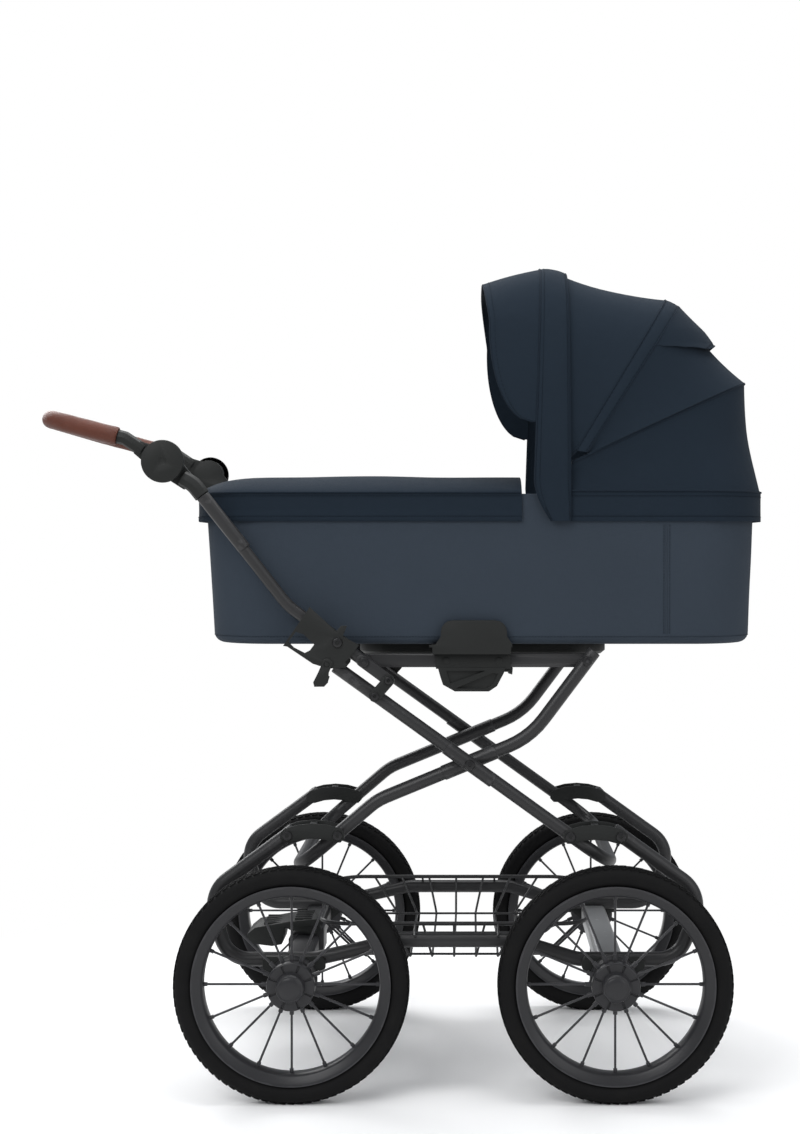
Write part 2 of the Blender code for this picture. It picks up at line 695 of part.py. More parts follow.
def make_basket(frame, paint):
    """A wire basket: a heavy rim, hoops that cross the floor, and long wires that tie them."""
    rim = tube("basket", basket_ring(BASKET_TOP_X, BASKET_TOP_Y, BASKET_TOP_Z), BASKET_RIM_WIRE,
               resolution=0, cyclic=True)
    wires = []
    middle = (BASKET_HOOPS - 1) / 2.0
    for index in range(BASKET_HOOPS):
        share = (index - middle) / middle
        top_x = (index - middle) * BASKET_PITCH
        floor_x = share * BASKET_FLOOR_X
        inset = 0.0 if abs(share) < 0.99 else 0.010
        top_y = BASKET_TOP_Y - inset
        hoop = [Vector((top_x, -top_y, BASKET_TOP_Z)), Vector((floor_x, -BASKET_FLOOR_Y, BASKET_FLOOR_Z)),
                Vector((floor_x, BASKET_FLOOR_Y, BASKET_FLOOR_Z)), Vector((top_x, top_y, BASKET_TOP_Z))]
        wires.append(tube("hoop", hoop, BASKET_WIRE, resolution=0))
    for y in (0.014 - BASKET_FLOOR_Y, 0.0, BASKET_FLOOR_Y - 0.014):
        floor_end = BASKET_FLOOR_X + 0.012
        long_wire = [Vector((-BASKET_TOP_X, y, BASKET_TOP_Z)),
                     Vector((-floor_end, y, BASKET_FLOOR_Z + BASKET_WIRE)),
                     Vector((floor_end, y, BASKET_FLOOR_Z + BASKET_WIRE)),
                     Vector((BASKET_TOP_X, y, BASKET_TOP_Z))]
        wires.append(tube("long_wire", long_wire, BASKET_WIRE, resolution=0))
    rest = SIDE_TUBE_Z + SIDE_TUBE_ARCH + SIDE_TUBE_RADIUS + GAP + BASKET_WIRE
    for x in BASKET_HOOKS:
        for _, sign in SIDES:
            hook = [Vector((x, sign * BASKET_TOP_Y, BASKET_TOP_Z)), Vector((x, sign * SIDE_TUBE_Y, rest)),
                    Vector((x, sign * (SIDE_TUBE_Y + SIDE_TUBE_RADIUS + 0.003), rest - 0.004))]
            wires.append(tube("hook", hook, BASKET_WIRE, resolution=0))
    finish(join(rim, *wires), paint, frame)


# Folding frame

def band(foot, knee, half_height, stretch=0.0):
    """A band that arches from the foot to the knee, with round ends, or longer square ones."""
    middle = (foot[0] + knee[0]) / 2.0
    half = abs(foot[0] - knee[0]) / 2.0
    radius = (half * half + LINK_RISE * LINK_RISE) / (2.0 * LINK_RISE)
    centre = (middle, foot[1] + LINK_RISE - radius)
    spread = math.degrees(math.asin((half + stretch) / radius))
    upper = arc(centre, radius + half_height, 90.0 - spread, 90.0 + spread, 4)
    lower = arc(centre, radius - half_height, 90.0 + spread, 90.0 - spread, 4)
    left = (middle - half, foot[1])
    right = (middle + half, foot[1])
    lean = math.degrees(math.asin(half / radius))
    left_cap = arc(left, half_height, 90.0 + lean, 270.0 + lean, 4)[1:-1]
    right_cap = arc(right, half_height, 270.0 - lean, 450.0 - lean, 4)[1:-1]
    return upper + left_cap + lower + right_cap


def make_links(end, pivot, foot, knee, middle_y, has_foot_pin, moulded):
    """A link on each side: two curved plates, a web between them, and the pins they carry."""
    half_gap = SIDE_TUBE_RADIUS + (SIDE_TUBE_Y - FRAME_B_Y) / 2.0 + FACE_GAP
    outer = half_gap + LINK_PLATE
    outline = band(foot, knee, LINK_HALF_HEIGHT)
    centre_x = (foot[0] + knee[0]) / 2.0
    for side, sign in SIDES:
        y = sign * middle_y
        first = plate(f"link_{end}_{side}", outline, y - outer, y - half_gap)
        second = plate("plate", outline, y + half_gap, y + outer)
        web = block("web", (centre_x - LINK_WEB / 2.0, y - half_gap - 0.001, foot[1] - 0.002),
                    (centre_x + LINK_WEB / 2.0, y + half_gap + 0.001, foot[1] + LINK_RISE + 0.009))
        reach = outer + BOLT_HEAD_HEIGHT
        pieces = [second, web, rod("pin", knee, y - outer, y + outer, PIN_RADIUS)]
        if has_foot_pin:
            pieces.append(rod("pin", foot, y - outer, y + outer, PIN_RADIUS))
        for place in (foot, knee):
            pieces.append(rod("head", place, y + sign * (outer - 0.001), y + sign * reach,
                              BOLT_HEAD_RADIUS))
        finish(join(first, *pieces), moulded, pivot)


def make_frame_a(pivot, paint):
    """The outer folding tube: one bent piece that goes down both sides and across the front."""
    path = rounded([(*FRAME_A_TOP, 0.0), (*FRAME_A_CORNER, FRAME_CORNER),
                    (FRAME_A_CORNER[0], FRAME_A_Y, FRAME_A_CORNER[2], FRAME_CORNER),
                    (FRAME_A_TOP[0], FRAME_A_Y, FRAME_A_TOP[2], 0.0)])
    bar = tube("frame_a", path, FRAME_A_RADIUS)
    slope = Vector((FRAME_A_CORNER[0] - FRAME_A_TOP[0], 0.0, FRAME_A_CORNER[2] - FRAME_A_TOP[2]))
    half_sleeve = slope.normalized() * (SLEEVE_LENGTH / 2.0)
    pieces = []
    holes = []
    head = FRAME_B_Y - FRAME_B_RADIUS - SLEEVE_WALL - GAP
    for side, sign in SIDES:
        centre = Vector((CROSSING[0], sign * FRAME_A_Y, CROSSING[1]))
        pieces.append(tube("sleeve", [centre - half_sleeve, centre + half_sleeve],
                           FRAME_A_RADIUS + SLEEVE_WALL))
        pieces.append(rod("pin", CROSSING, sign * FRAME_A_Y, sign * (head - 0.001), PIN_RADIUS))
        pieces.append(rod("head", CROSSING, sign * head, sign * (head - BOLT_HEAD_HEIGHT),
                          BOLT_HEAD_RADIUS))
        pieces.append(rod("head", CROSSING, sign * FRAME_A_Y,
                          sign * (FRAME_A_Y + FRAME_A_RADIUS + SLEEVE_WALL + BOLT_HEAD_HEIGHT),
                          BOLT_HEAD_RADIUS))
        holes.append(rod(f"frame_a_hole_{side}", FRONT_KNEE, sign * (FRAME_A_Y - 0.02),
                         sign * (FRAME_A_Y + 0.02), PIN_RADIUS + RUNNING))
    finish(drill(join(bar, *pieces), *holes), paint, pivot)


def make_frame_b(pivot, paint):
    """The inner folding tube: bent twice on each side and joined across the rear."""
    near = [(*FRAME_B_TOP, 0.0), (*FRAME_B_BEND, 0.130), (*FRAME_B_LOW_BEND, 0.090),
            (*FRAME_B_CORNER, FRAME_CORNER)]
    far = [(x, -y, z, radius) for x, y, z, radius in reversed(near)]
    bar = tube("frame_b", rounded(near + far), FRAME_B_RADIUS)
    slope = Vector((FRAME_B_BEND[0] - FRAME_B_LOW_BEND[0], 0.0, FRAME_B_BEND[2] - FRAME_B_LOW_BEND[2]))
    half_sleeve = slope.normalized() * (SLEEVE_LENGTH / 2.0)
    sleeves = []
    holes = []
    for side, sign in SIDES:
        centre = Vector((CROSSING[0], sign * FRAME_B_Y, CROSSING[1]))
        sleeves.append(tube("sleeve", [centre - half_sleeve, centre + half_sleeve],
                            FRAME_B_RADIUS + SLEEVE_WALL))
        for kind, place in (("knee", REAR_KNEE), ("crossing", CROSSING), ("rail", RAIL_FRONT)):
            holes.append(rod(f"frame_b_{kind}_hole_{side}", place, sign * (FRAME_B_Y - 0.02),
                             sign * (FRAME_B_Y + 0.02), PIN_RADIUS + RUNNING))
    finish(drill(join(bar, *sleeves), *holes), paint, pivot)


# Seat frame, with the adapters that hold the carrycot

def make_seat_frame(pivot, paint):
    """Two flat rails with their pivot pins and bushes, and a tie between them."""
    half = RAIL_WIDTH / 2.0
    inner = RAIL_Y - half
    outer = RAIL_Y + half
    low = RAIL_Z - RAIL_HEIGHT / 2.0
    high = RAIL_Z + RAIL_HEIGHT / 2.0
    outline = [(RAIL_FROM, low + 0.004), (RAIL_FROM + 0.004, low), (RAIL_TO - 0.004, low),
               (RAIL_TO, low + 0.004), (RAIL_TO, high - 0.004), (RAIL_TO - 0.004, high),
               (RAIL_FROM + 0.004, high), (RAIL_FROM, high - 0.004)]
    tie = rod("seat_frame", (TIE_X, low + TIE_RADIUS), -inner - 0.002, inner + 0.002, TIE_RADIUS)
    pieces = []
    front_head = FRAME_B_Y + FRAME_B_RADIUS + GAP
    rear_head = STRAP_OUTER + GAP
    bush_end = PUSH_Y - PUSH_RADIUS - GAP
    for _, sign in SIDES:
        pieces.append(plate("rail", outline, sign * inner, sign * outer))
        pieces.append(rod("pin", RAIL_FRONT, sign * (outer - 0.004), sign * (front_head + 0.001),
                          PIN_RADIUS))
        pieces.append(rod("head", RAIL_FRONT, sign * front_head,
                          sign * (front_head + BOLT_HEAD_HEIGHT), BOLT_HEAD_RADIUS))
        pieces.append(rod("bush", RAIL_REAR, sign * (outer - 0.004), sign * bush_end, BUSH_RADIUS))
        pieces.append(rod("pin", RAIL_REAR, sign * (bush_end - 0.002), sign * (rear_head + 0.001),
                          PIN_RADIUS))
        pieces.append(rod("head", RAIL_REAR, sign * rear_head,
                          sign * (rear_head + BOLT_HEAD_HEIGHT), BOLT_HEAD_RADIUS))
    finish(join(tie, *pieces), paint, pivot)


def make_adapters(pivot, moulded, frame):
    """A moulded bowl under each rail with a recess and a rib, a plate with screws, and a sliding tab."""
    low = RAIL_Z - RAIL_HEIGHT / 2.0 - GAP
    high = RAIL_Z + RAIL_HEIGHT / 2.0
    face = RAIL_Y + RAIL_WIDTH / 2.0 + GAP
    outer = face + ADAPTER_WALL
    bowl = [(-0.025, low), (-0.021, 0.636), (-0.017, 0.624), (0.0016, ADAPTER_FLOOR),
            (0.0543, ADAPTER_FLOOR), (0.0667, 0.622), (0.0775, 0.6425), (0.080, low)]
    for side, sign in SIDES:
        body = plate(f"adapter_{side}", bowl, sign * (face - ADAPTER_DEPTH), sign * (outer + 0.001))
        flange = plate("flange", [(-0.028, low - 0.002), (0.088, low - 0.002), (0.088, high - 0.004),
                                  (0.084, high), (-0.024, high), (-0.028, high - 0.004)],
                       sign * face, sign * outer)
        screws = [rod("screw", (x, RAIL_Z), sign * (outer - 0.001), sign * (outer + 0.0015), 0.0055)
                  for x in (-0.012, 0.070)]
        body = join(body, flange, *screws)
        upper = plate("recess", [(-0.012, 0.6455), (-0.006, 0.626), (0.048, 0.6455)],
                      sign * (outer - ADAPTER_RECESS), sign * (outer + 0.002))
        lower = plate("recess", [(0.0035, 0.6185), (0.052, 0.6185), (0.0615, 0.626), (0.068, 0.641),
                                 (0.060, 0.6425)],
                      sign * (outer - ADAPTER_RECESS), sign * (outer + 0.002))
        channel_from = TAB_FROM - TAB_TRAVEL - FACE_GAP
        channel = block("channel", (channel_from, sign * TAB_Y - 0.0055, low - TAB_HEIGHT - FACE_GAP),
                        (0.100, sign * TAB_Y + 0.0055, low + 0.0001))
        finish(cut(body, upper, lower, channel), moulded, pivot)
        tab_pivot = pivot_at(f"tab_slide_{side}", (TAB_FROM, low), frame)
        tab = block(f"release_tab_{side}", (TAB_FROM, sign * TAB_Y - 0.005, low - TAB_HEIGHT),
                    (TAB_TO, sign * TAB_Y + 0.005, low - 0.0003))
        thumb = plate("thumb", [(0.084, 0.6415), (TAB_TO, 0.6395), (TAB_TO + 0.001, 0.6500),
                                (0.084, 0.6500)], sign * TAB_Y - 0.0058, sign * TAB_Y + 0.0058)
        finish(join(tab, thumb), moulded, tab_pivot)


# Push frame: the long tubes up to the handle joints

def push_point(distance):
    """A point on the lower straight of the push tube, that far down from the rail's pivot."""
    return (RAIL_REAR[0] + PUSH_SLOPE[0] * distance, RAIL_REAR[1] + PUSH_SLOPE[1] * distance)


def lock_point(e, n):
    """A point in the lock's own axes: e down along the tube and n up across it."""
    return (LOCK_BOLT[0] + PUSH_SLOPE[0] * e - PUSH_SLOPE[1] * n,
            LOCK_BOLT[1] + PUSH_SLOPE[1] * e + PUSH_SLOPE[0] * n)


def make_push_tubes(pivot, paint):
    """The bent push tubes, each with a strap at its foot and a sleeve under the handle joint."""
    end = push_point(0.024)
    for side, sign in SIDES:
        y = sign * PUSH_Y
        path = rounded([(end[0], y, end[1], 0.0), (PUSH_BEND[0], y, PUSH_BEND[1], 0.100),
                        (PUSH_TOP[0], y, PUSH_TOP[1], 0.0)], 8.0)
        bar = tube(f"push_tube_{side}", path, PUSH_RADIUS)
        sleeve = tube("sleeve", [Vector((PUSH_SLEEVE[0], y, PUSH_SLEEVE[1])), path[-1]],
                      PUSH_RADIUS + 0.0015)
        straight = math.degrees(math.atan2(PUSH_SLOPE[1], PUSH_SLOPE[0]))
        strap = arc(BRACE_TOP, PUSH_RADIUS, straight - 90.0, straight + 90.0, 6)
        strap += arc(push_point(-0.004), PUSH_RADIUS, straight + 90.0, straight + 270.0, 6)
        strap = plate("strap", strap, sign * (PUSH_Y + PUSH_RADIUS - 0.0012), sign * STRAP_OUTER)
        bar = join(bar, sleeve, strap)
        holes = [rod(f"push_hole_{kind}_{side}", place, sign * (PUSH_Y - 0.02),
                     sign * (PUSH_Y + 0.02), PIN_RADIUS + RUNNING)
                 for kind, place in (("rail", RAIL_REAR), ("brace", BRACE_TOP))]
        finish(drill(bar, *holes), paint, pivot)


def make_lock_brackets(pivot, moulded, frame):
    """A guard over each push tube with a window, and the lever that swings below it."""
    inner = PUSH_Y + PUSH_RADIUS + 0.0015
    outer = inner + LOCK_WALL
    outline = [lock_point(e, n) for e, n in (
        (-0.067, 0.019), (-0.012, 0.013), (-0.011, 0.024), (-0.0035, 0.030), (0.0005, 0.013),
        (0.0287, 0.0168), (0.0288, -0.007), (0.027, -0.017), (0.033, -0.0175), (0.033, -0.023),
        (0.012, -0.040), (-0.011, -0.048), (-0.058, -0.050), (-0.064, -0.053), (-0.066, 0.013))]
    window = [lock_point(e, n) for e, n in (
        (-0.061, -0.024), (-0.061, -0.043), (-0.049, -0.045), (-0.031, -0.042), (-0.027, -0.034),
        (-0.027, -0.023), (-0.049, -0.020))]
    for side, sign in SIDES:
        guard = plate(f"lock_bracket_{side}", outline, sign * inner, sign * outer)
        webs = []
        for e_from, e_to, n_from, n_to in ((-0.062, 0.026, PUSH_RADIUS + GAP, 0.013),
                                           (-0.062, -0.014, -0.0185, -PUSH_RADIUS - GAP)):
            web = [lock_point(e_from, n_from), lock_point(e_to, n_from), lock_point(e_to, n_to),
                   lock_point(e_from, n_to)]
            webs.append(plate("web", web, sign * (PUSH_Y - 0.006), sign * (inner + 0.001)))
        bolt = rod("bolt", LOCK_BOLT, sign * (outer - 0.001), sign * (outer + 0.003), 0.007)
        opening = plate("window", window, sign * (inner - 0.005), sign * (outer + 0.005))
        stud = rod("stud", lock_point(*LEVER_PIVOT), sign * (outer - 0.001),
                   sign * (outer + LOCK_WALL + GAP), PIN_RADIUS)
        finish(cut(join(guard, bolt, stud, *webs), opening), moulded, pivot)
        lever_pivot = pivot_at(f"lever_pivot_{side}", lock_point(*LEVER_PIVOT), frame)
        start = LEVER_PIVOT
        lever_outline = [lock_point(e, n) for e, n in (
            (start[0] - 0.008, start[1] + 0.004), (start[0] - 0.004, start[1] + 0.009),
            (start[0] + 0.006, start[1] + 0.009), (0.0165, -0.044), (0.0245, -0.057),
            (0.0235, -0.0655), (0.0115, -0.0745), (0.006, -0.070), (0.0035, -0.055))]
        lever = plate(f"lock_lever_{side}", lever_outline, sign * (outer + GAP),
                      sign * (outer + GAP + LOCK_WALL))
        hook = plate("hook", [lock_point(e, n) for e, n in (
            (0.006, -0.0485), (0.021, -0.0485), (0.024, -0.057), (0.0235, -0.0655),
            (0.0115, -0.0745), (0.006, -0.070))],
            sign * (FRAME_A_Y + FRAME_A_RADIUS + 0.001), sign * (outer + GAP + 0.001))
        hole = rod(f"lever_hole_{side}", lock_point(*LEVER_PIVOT), sign * (outer - 0.005),
                   sign * (outer + 0.015), PIN_RADIUS + GAP * 2.0)
        finish(drill(join(lever, hook), hole), moulded, lever_pivot)


def make_braces(pivot, moulded):
    """A short plate on each side from the push tube's strap down to the outer folding tube."""
    inner = STRAP_OUTER + GAP
    outer = inner + LINK_PLATE
    lean = math.degrees(math.atan2(BRACE_FOOT[1] - BRACE_TOP[1], BRACE_FOOT[0] - BRACE_TOP[0]))
    outline = arc(BRACE_TOP, 0.009, lean + 90.0, lean + 270.0, 6)
    outline += arc(BRACE_FOOT, 0.009, lean - 90.0, lean + 90.0, 6)
    for side, sign in SIDES:
        brace = plate(f"brace_{side}", outline, sign * inner, sign * outer)
        pin = rod("pin", BRACE_TOP, sign * (PUSH_Y + PUSH_RADIUS), sign * (outer + 0.002), PIN_RADIUS)
        spacer = rod("spacer", BRACE_FOOT, sign * (FRAME_A_Y + FRAME_A_RADIUS + GAP),
                     sign * (outer + 0.002), BOLT_HEAD_RADIUS)
        finish(join(brace, pin, spacer), moulded, pivot)


def make_handle_joints(pivot, moulded):
    """The socket above each push tube, with its knuckle, the pin and the round cover outside."""
    knuckle_outer = KNUCKLE_SPLIT - GAP
    arm_outer = KNUCKLE_SPLIT + ARM_KNUCKLE
    toward = Vector((PUSH_TOP[0] - HANDLE_PIVOT[0], PUSH_TOP[1] - HANDLE_PIVOT[1])).normalized()
    square = Vector((-toward.y, toward.x))
    neck_far = [Vector(HANDLE_PIVOT) + toward * 0.050 + square * width for width in (-0.012, 0.012)]
    neck_near = [Vector(HANDLE_PIVOT) + square * width for width in (0.020, -0.020)]
    neck = [tuple(point) for point in neck_far + neck_near]
    lift = (Vector(PUSH_TOP) - Vector(PUSH_SLEEVE)).normalized() * GAP
    bottom = (PUSH_TOP[0] + lift.x, PUSH_TOP[1] + lift.y)
    for side, sign in SIDES:
        y = sign * PUSH_Y
        inner = sign * (PUSH_Y - SOCKET_RADIUS + 0.0008)
        stop = Vector(HANDLE_PIVOT) + toward * (COVER_RADIUS + 0.005)
        bend = Vector(bottom) + lift.normalized() * 0.022
        path = rounded([(bottom[0], y, bottom[1], 0.0), (bend.x, y, bend.y, 0.030),
                        (stop.x, y, stop.y, 0.0)], 12.0)
        socket = tube(f"handle_joint_{side}", path, SOCKET_RADIUS)
        pieces = [plate("neck", neck, inner, sign * knuckle_outer),
                  rod("knuckle", HANDLE_PIVOT, inner, sign * knuckle_outer, KNUCKLE_RADIUS, 16),
                  rod("pin", HANDLE_PIVOT, sign * (knuckle_outer - 0.002), sign * (arm_outer + 0.002),
                      PIN_RADIUS * 1.5),
                  rod("cover", HANDLE_PIVOT, sign * (arm_outer + GAP), sign * (arm_outer + COVER_DEPTH),
                      COVER_RADIUS, 24)]
        dimple = rod("dimple", HANDLE_PIVOT, sign * (arm_outer + COVER_DEPTH - 0.0015),
                     sign * (arm_outer + COVER_DEPTH + 0.002), 0.0065)
        finish(cut(join(socket, *pieces), dimple), moulded, pivot)


def make_handle(pivot, moulded):
    """Two arms that turn between the knuckles and the covers, and the grip that joins them."""
    leather = material("grip_leather", (0.145, 0.042, 0.023), 0.50)
    toward = Vector((ARM_END[0] - HANDLE_PIVOT[0], ARM_END[1] - HANDLE_PIVOT[1])).normalized()
    square = Vector((-toward.y, toward.x))
    arm_y = (KNUCKLE_SPLIT * 2.0 + ARM_KNUCKLE) / 2.0
    neck = [Vector(HANDLE_PIVOT) + toward * 0.045 + square * width for width in (0.0105, -0.0105)]
    neck += [Vector(HANDLE_PIVOT) + square * width for width in (-0.020, 0.020)]
    slope = (Vector(GRIP_CORNER) - Vector(ARM_END)).normalized()
    for side, sign in SIDES:
        inner = sign * (KNUCKLE_SPLIT + GAP)
        outer = sign * (KNUCKLE_SPLIT + ARM_KNUCKLE - GAP)
        start = Vector(HANDLE_PIVOT) + toward * (COVER_RADIUS + 0.003)
        line = [start, Vector(ARM_END) - slope * 0.012, Vector(ARM_END) - slope * GAP]
        arm = tube(f"handle_arm_{side}", [Vector((place.x, sign * arm_y, place.y)) for place in line],
                   ARM_RADIUS)
        hub = rod("arm_hub", HANDLE_PIVOT, inner, outer, KNUCKLE_RADIUS, 16)
        arm = join(arm, plate("neck", [tuple(point) for point in neck], inner, outer), hub)
        hole = rod(f"arm_hole_{side}", HANDLE_PIVOT, inner - sign * 0.01, outer + sign * 0.01,
                   PIN_RADIUS * 1.5 + RUNNING)
        finish(drill(arm, hole), moulded, pivot)
    corners = [(*ARM_END, 0.0), (*GRIP_CORNER, GRIP_BEND)]
    path = [(x, -arm_y, z, radius) for x, z, radius in corners]
    path += [(x, arm_y, z, radius) for x, z, radius in reversed(corners)]
    finish(tube("grip", rounded(path, 15.0), GRIP_RADIUS, resolution=3), leather, pivot)


# Carrycot

def plan_ring(x_from, x_to, half_y, corner, z, inset=0.0):
    """A rounded rectangle in plan at one height, drawn in by an inset."""
    low = x_from + inset
    high = x_to - inset
    side = half_y - inset
    bend = max(corner - inset, 0.004)
    return rounded([(low, -side, z, bend), (high, -side, z, bend), (high, side, z, bend),
                    (low, side, z, bend)], 18.0)


def tub_ring(z, inset=0.0):
    """The tub's outline at one height; its walls lean out towards the top."""
    share = (z - TUB_LOW) / (TUB_TOP - TUB_LOW)
    x_from = TUB_REAR_LOW + (TUB_REAR_TOP - TUB_REAR_LOW) * share
    x_to = TUB_FRONT_LOW + (TUB_FRONT_TOP - TUB_FRONT_LOW) * share
    half_y = TUB_HALF_LOW + (TUB_HALF_TOP - TUB_HALF_LOW) * share
    return plan_ring(x_from, x_to, half_y, TUB_CORNER, z, inset)


def make_tub(pivot):
    """The tub: an open shell with leaning walls and a rounded foot."""
    cloth = material("tub_cloth", (0.034, 0.045, 0.058), 0.90)
    rings = [tub_ring(TUB_LOW, 0.013), tub_ring(TUB_LOW + 0.004, 0.004), tub_ring(TUB_LOW + 0.013),
             tub_ring(TUB_TOP), tub_ring(TUB_TOP, TUB_WALL),
             tub_ring(TUB_LOW + TUB_FLOOR + 0.010, TUB_WALL),
             tub_ring(TUB_LOW + TUB_FLOOR, TUB_WALL + 0.010)]
    tub = loft("tub", rings)
    pins = [rod("pin", HOOD_PIVOT, sign * (TUB_HALF_TOP - TUB_WALL / 2.0),
                sign * BAND_OUTER, HOOD_PIN_RADIUS) for _, sign in SIDES]
    finish(join(tub, *pins), cloth, pivot)


def make_mattress(pivot):
    """A pad on the tub's floor, with a crown and drawn-in sides."""
    cotton = material("mattress_cotton", (0.72, 0.70, 0.66), 0.95)
    low = TUB_LOW + TUB_FLOOR + GAP
    rings = []
    for rise, inset in ((0.0, 0.022), (0.006, 0.0125), (0.018, 0.0095), (0.029, 0.013), (0.034, 0.024),
                        (0.037, 0.070)):
        rings.append(tub_ring(low + rise, inset + TUB_WALL))
    finish(loft("mattress", rings), cotton, pivot)


def make_cot_base(pivot, moulded):
    """The tray under the tub, with a tongue over each rail and a rounded ear up each side."""
    top = TUB_LOW - GAP
    tray_low = RAIL_Z - RAIL_HEIGHT / 2.0 + TIE_RADIUS * 2.0 + GAP * 2.0
    tray = loft("cot_base", [plan_ring(TRAY_FROM, TRAY_TO, TRAY_HALF, 0.060, tray_low, 0.006),
                             plan_ring(TRAY_FROM, TRAY_TO, TRAY_HALF, 0.060, tray_low + 0.005),
                             plan_ring(TRAY_FROM, TRAY_TO, TRAY_HALF, 0.060, top)])
    ear = [(-0.028, top + 0.001), (-0.020, 0.700)] + arc((-0.002, 0.7065), 0.018, 180.0, 90.0, 4)
    ear += arc((0.064, 0.7065), 0.018, 90.0, 0.0, 4) + [(0.082, 0.700), (0.090, top + 0.001)]
    ear += [(0.090, top - 0.0035), (-0.038, top - 0.0035), (-0.038, top - 0.0005)]
    pieces = []
    slots = []
    for _, sign in SIDES:
        tongue_low = RAIL_Z + RAIL_HEIGHT / 2.0 + GAP
        pieces.append(block("tongue", (-0.033, min(sign * (TRAY_HALF - 0.002), sign * EAR_OUTER), tongue_low),
                            (0.088, max(sign * (TRAY_HALF - 0.002), sign * EAR_OUTER), top)))
        pieces.append(plate("ear", ear, sign * (TUB_HALF_LOW + 0.0012), sign * EAR_OUTER))
    for x in (TRAY_FROM + 0.035, TRAY_TO - 0.035):
        slots.append(block("slot", (x - 0.008, -0.075, tray_low - 0.01), (x + 0.008, 0.075, top + 0.01)))
    finish(cut(join(tray, *pieces), *slots), moulded, pivot)


def surface(name, rows, thickness):
    """A sheet through rows of points, thickened inwards; points that meet are shared."""
    shape = bmesh.new()
    known = {}

    def corner(point):
        key = tuple(round(value, 6) for value in point)
        if key not in known:
            known[key] = shape.verts.new(point)
        return known[key]

    for first, second in zip(rows, rows[1:]):
        for index in range(len(first) - 1):
            ring = [corner(first[index]), corner(first[index + 1]), corner(second[index + 1]),
                    corner(second[index])]
            ring = [vert for place, vert in enumerate(ring) if vert not in ring[:place]]
            if len(ring) > 2 and not shape.faces.get(ring):
                shape.faces.new(ring)
    mesh = bpy.data.meshes.new(name)
    shape.to_mesh(mesh)
    shape.free()
    made = link(name, mesh)
    wall = made.modifiers.new("wall", "SOLIDIFY")
    wall.thickness = thickness
    wall.offset = -1.0
    wall.use_even_offset = True
    return made


def make_apron(pivot, cloth):
    """The cover over the foot end: a skirt outside the tub's rim and a low crown."""
    outside = TUB_HALF_TOP + GAP + CLOTH_WALL
    left = TUB_REAR_TOP - GAP - CLOTH_WALL - SKIRT_FLARE
    corner = TUB_CORNER + CLOTH_WALL
    half = rounded([(APRON_END, -outside, 0.0, 0.0), (left, -outside, 0.0, corner),
                    (left, 0.0, 0.0, 0.0)], 18.0)
    near = [half[0], half[0].lerp(half[1], 0.33), half[0].lerp(half[1], 0.67)] + half[1:]
    edge = near + [Vector((point.x, -point.y, 0.0)) for point in reversed(near[:-1])]
    spine_start = left + APRON_SPINE
    rows = []
    for share, z in ((0.0, SKIRT_LOW), (0.0, RIM_Z - 0.004), (0.03, RIM_Z + 0.003), (0.14, RIM_Z + 0.010),
                     (0.40, RIM_Z + 0.0205), (1.0, APRON_CROWN)):
        row = []
        for point in edge:
            spine = Vector((max(point.x, spine_start), 0.0, 0.0))
            place = point.lerp(spine, share)
            row.append(Vector((place.x, place.y, z)))
        rows.append(row)
    finish(surface("apron", list(reversed(rows)), CLOTH_WALL), cloth, pivot)


# Hood

def arch(foot, crown, half_width, count=16, start=0.0):
    """A boxy arch from (x, z) of its feet to (x, z) of its crown, which springs from below the pivot.

    All arches spring from one level under the hood's pivot, so that they nest when the hood folds.
    """
    line = Vector((crown[0] - foot[0], crown[1] - foot[1]))
    reach = line.length
    line.normalize()
    from_pivot = Vector((foot[0] - HOOD_PIVOT[0], foot[1] - HOOD_PIVOT[1]))
    sunk = max(0.0, from_pivot.dot(line) + HOOD_SINK)
    base = (foot[0] - line.x * sunk, foot[1] - line.y * sunk)
    foot_angle = math.asin((sunk / (sunk + reach)) ** (HOOD_POWER / 2.0))
    first = max(math.radians(start), foot_angle)
    power = 2.0 / HOOD_POWER
    points = []
    for index in range(count + 1):
        angle = first + (math.pi - 2.0 * first) * index / count
        across = math.copysign(abs(math.cos(angle)) ** power, math.cos(angle))
        rise = math.sin(angle) ** power if math.sin(angle) > 1e-9 else 0.0
        x, z = along(base, crown, rise)
        points.append(Vector((x, -half_width * across, z)))
    return points


def inner_arch(foot, crown, half_width, wall, **options):
    """The same arch, inside its wall."""
    reach = Vector((crown[0] - foot[0], crown[1] - foot[1]))
    lower = (crown[0] - reach.x / reach.length * wall, crown[1] - reach.y / reach.length * wall)
    return arch(foot, lower, half_width - wall, **options)


def strip(name, outer, inner):
    """A closed shell between neighbouring arches: their outer points and the inner ones under them."""
    rings = []
    for index in range(len(outer[0])):
        ring = [row[index] for row in outer] + [row[index] for row in reversed(inner)]
        rings.append(ring)
    return loft(name, rings)


def hood_strip(name, feet, crowns, half_width, wall, sag=0.0):
    """A strip of hood between a front arch and a rear one, drawn in by a sag at its middle."""
    outer = []
    inner = []
    for share in (0.0, 0.5, 1.0) if sag else (0.0, 1.0):
        drop = sag * 4.0 * share * (1.0 - share)
        base = along(feet[0], feet[1], share)
        crown = along(crowns[0], crowns[1], share)
        lowered = (crown[0] - drop * 0.7, crown[1] - drop * 0.7)
        outer.append(arch(base, lowered, half_width - drop * 0.4))
        inner.append(inner_arch(base, lowered, half_width - drop * 0.4, wall))
    return strip(name, outer, inner)


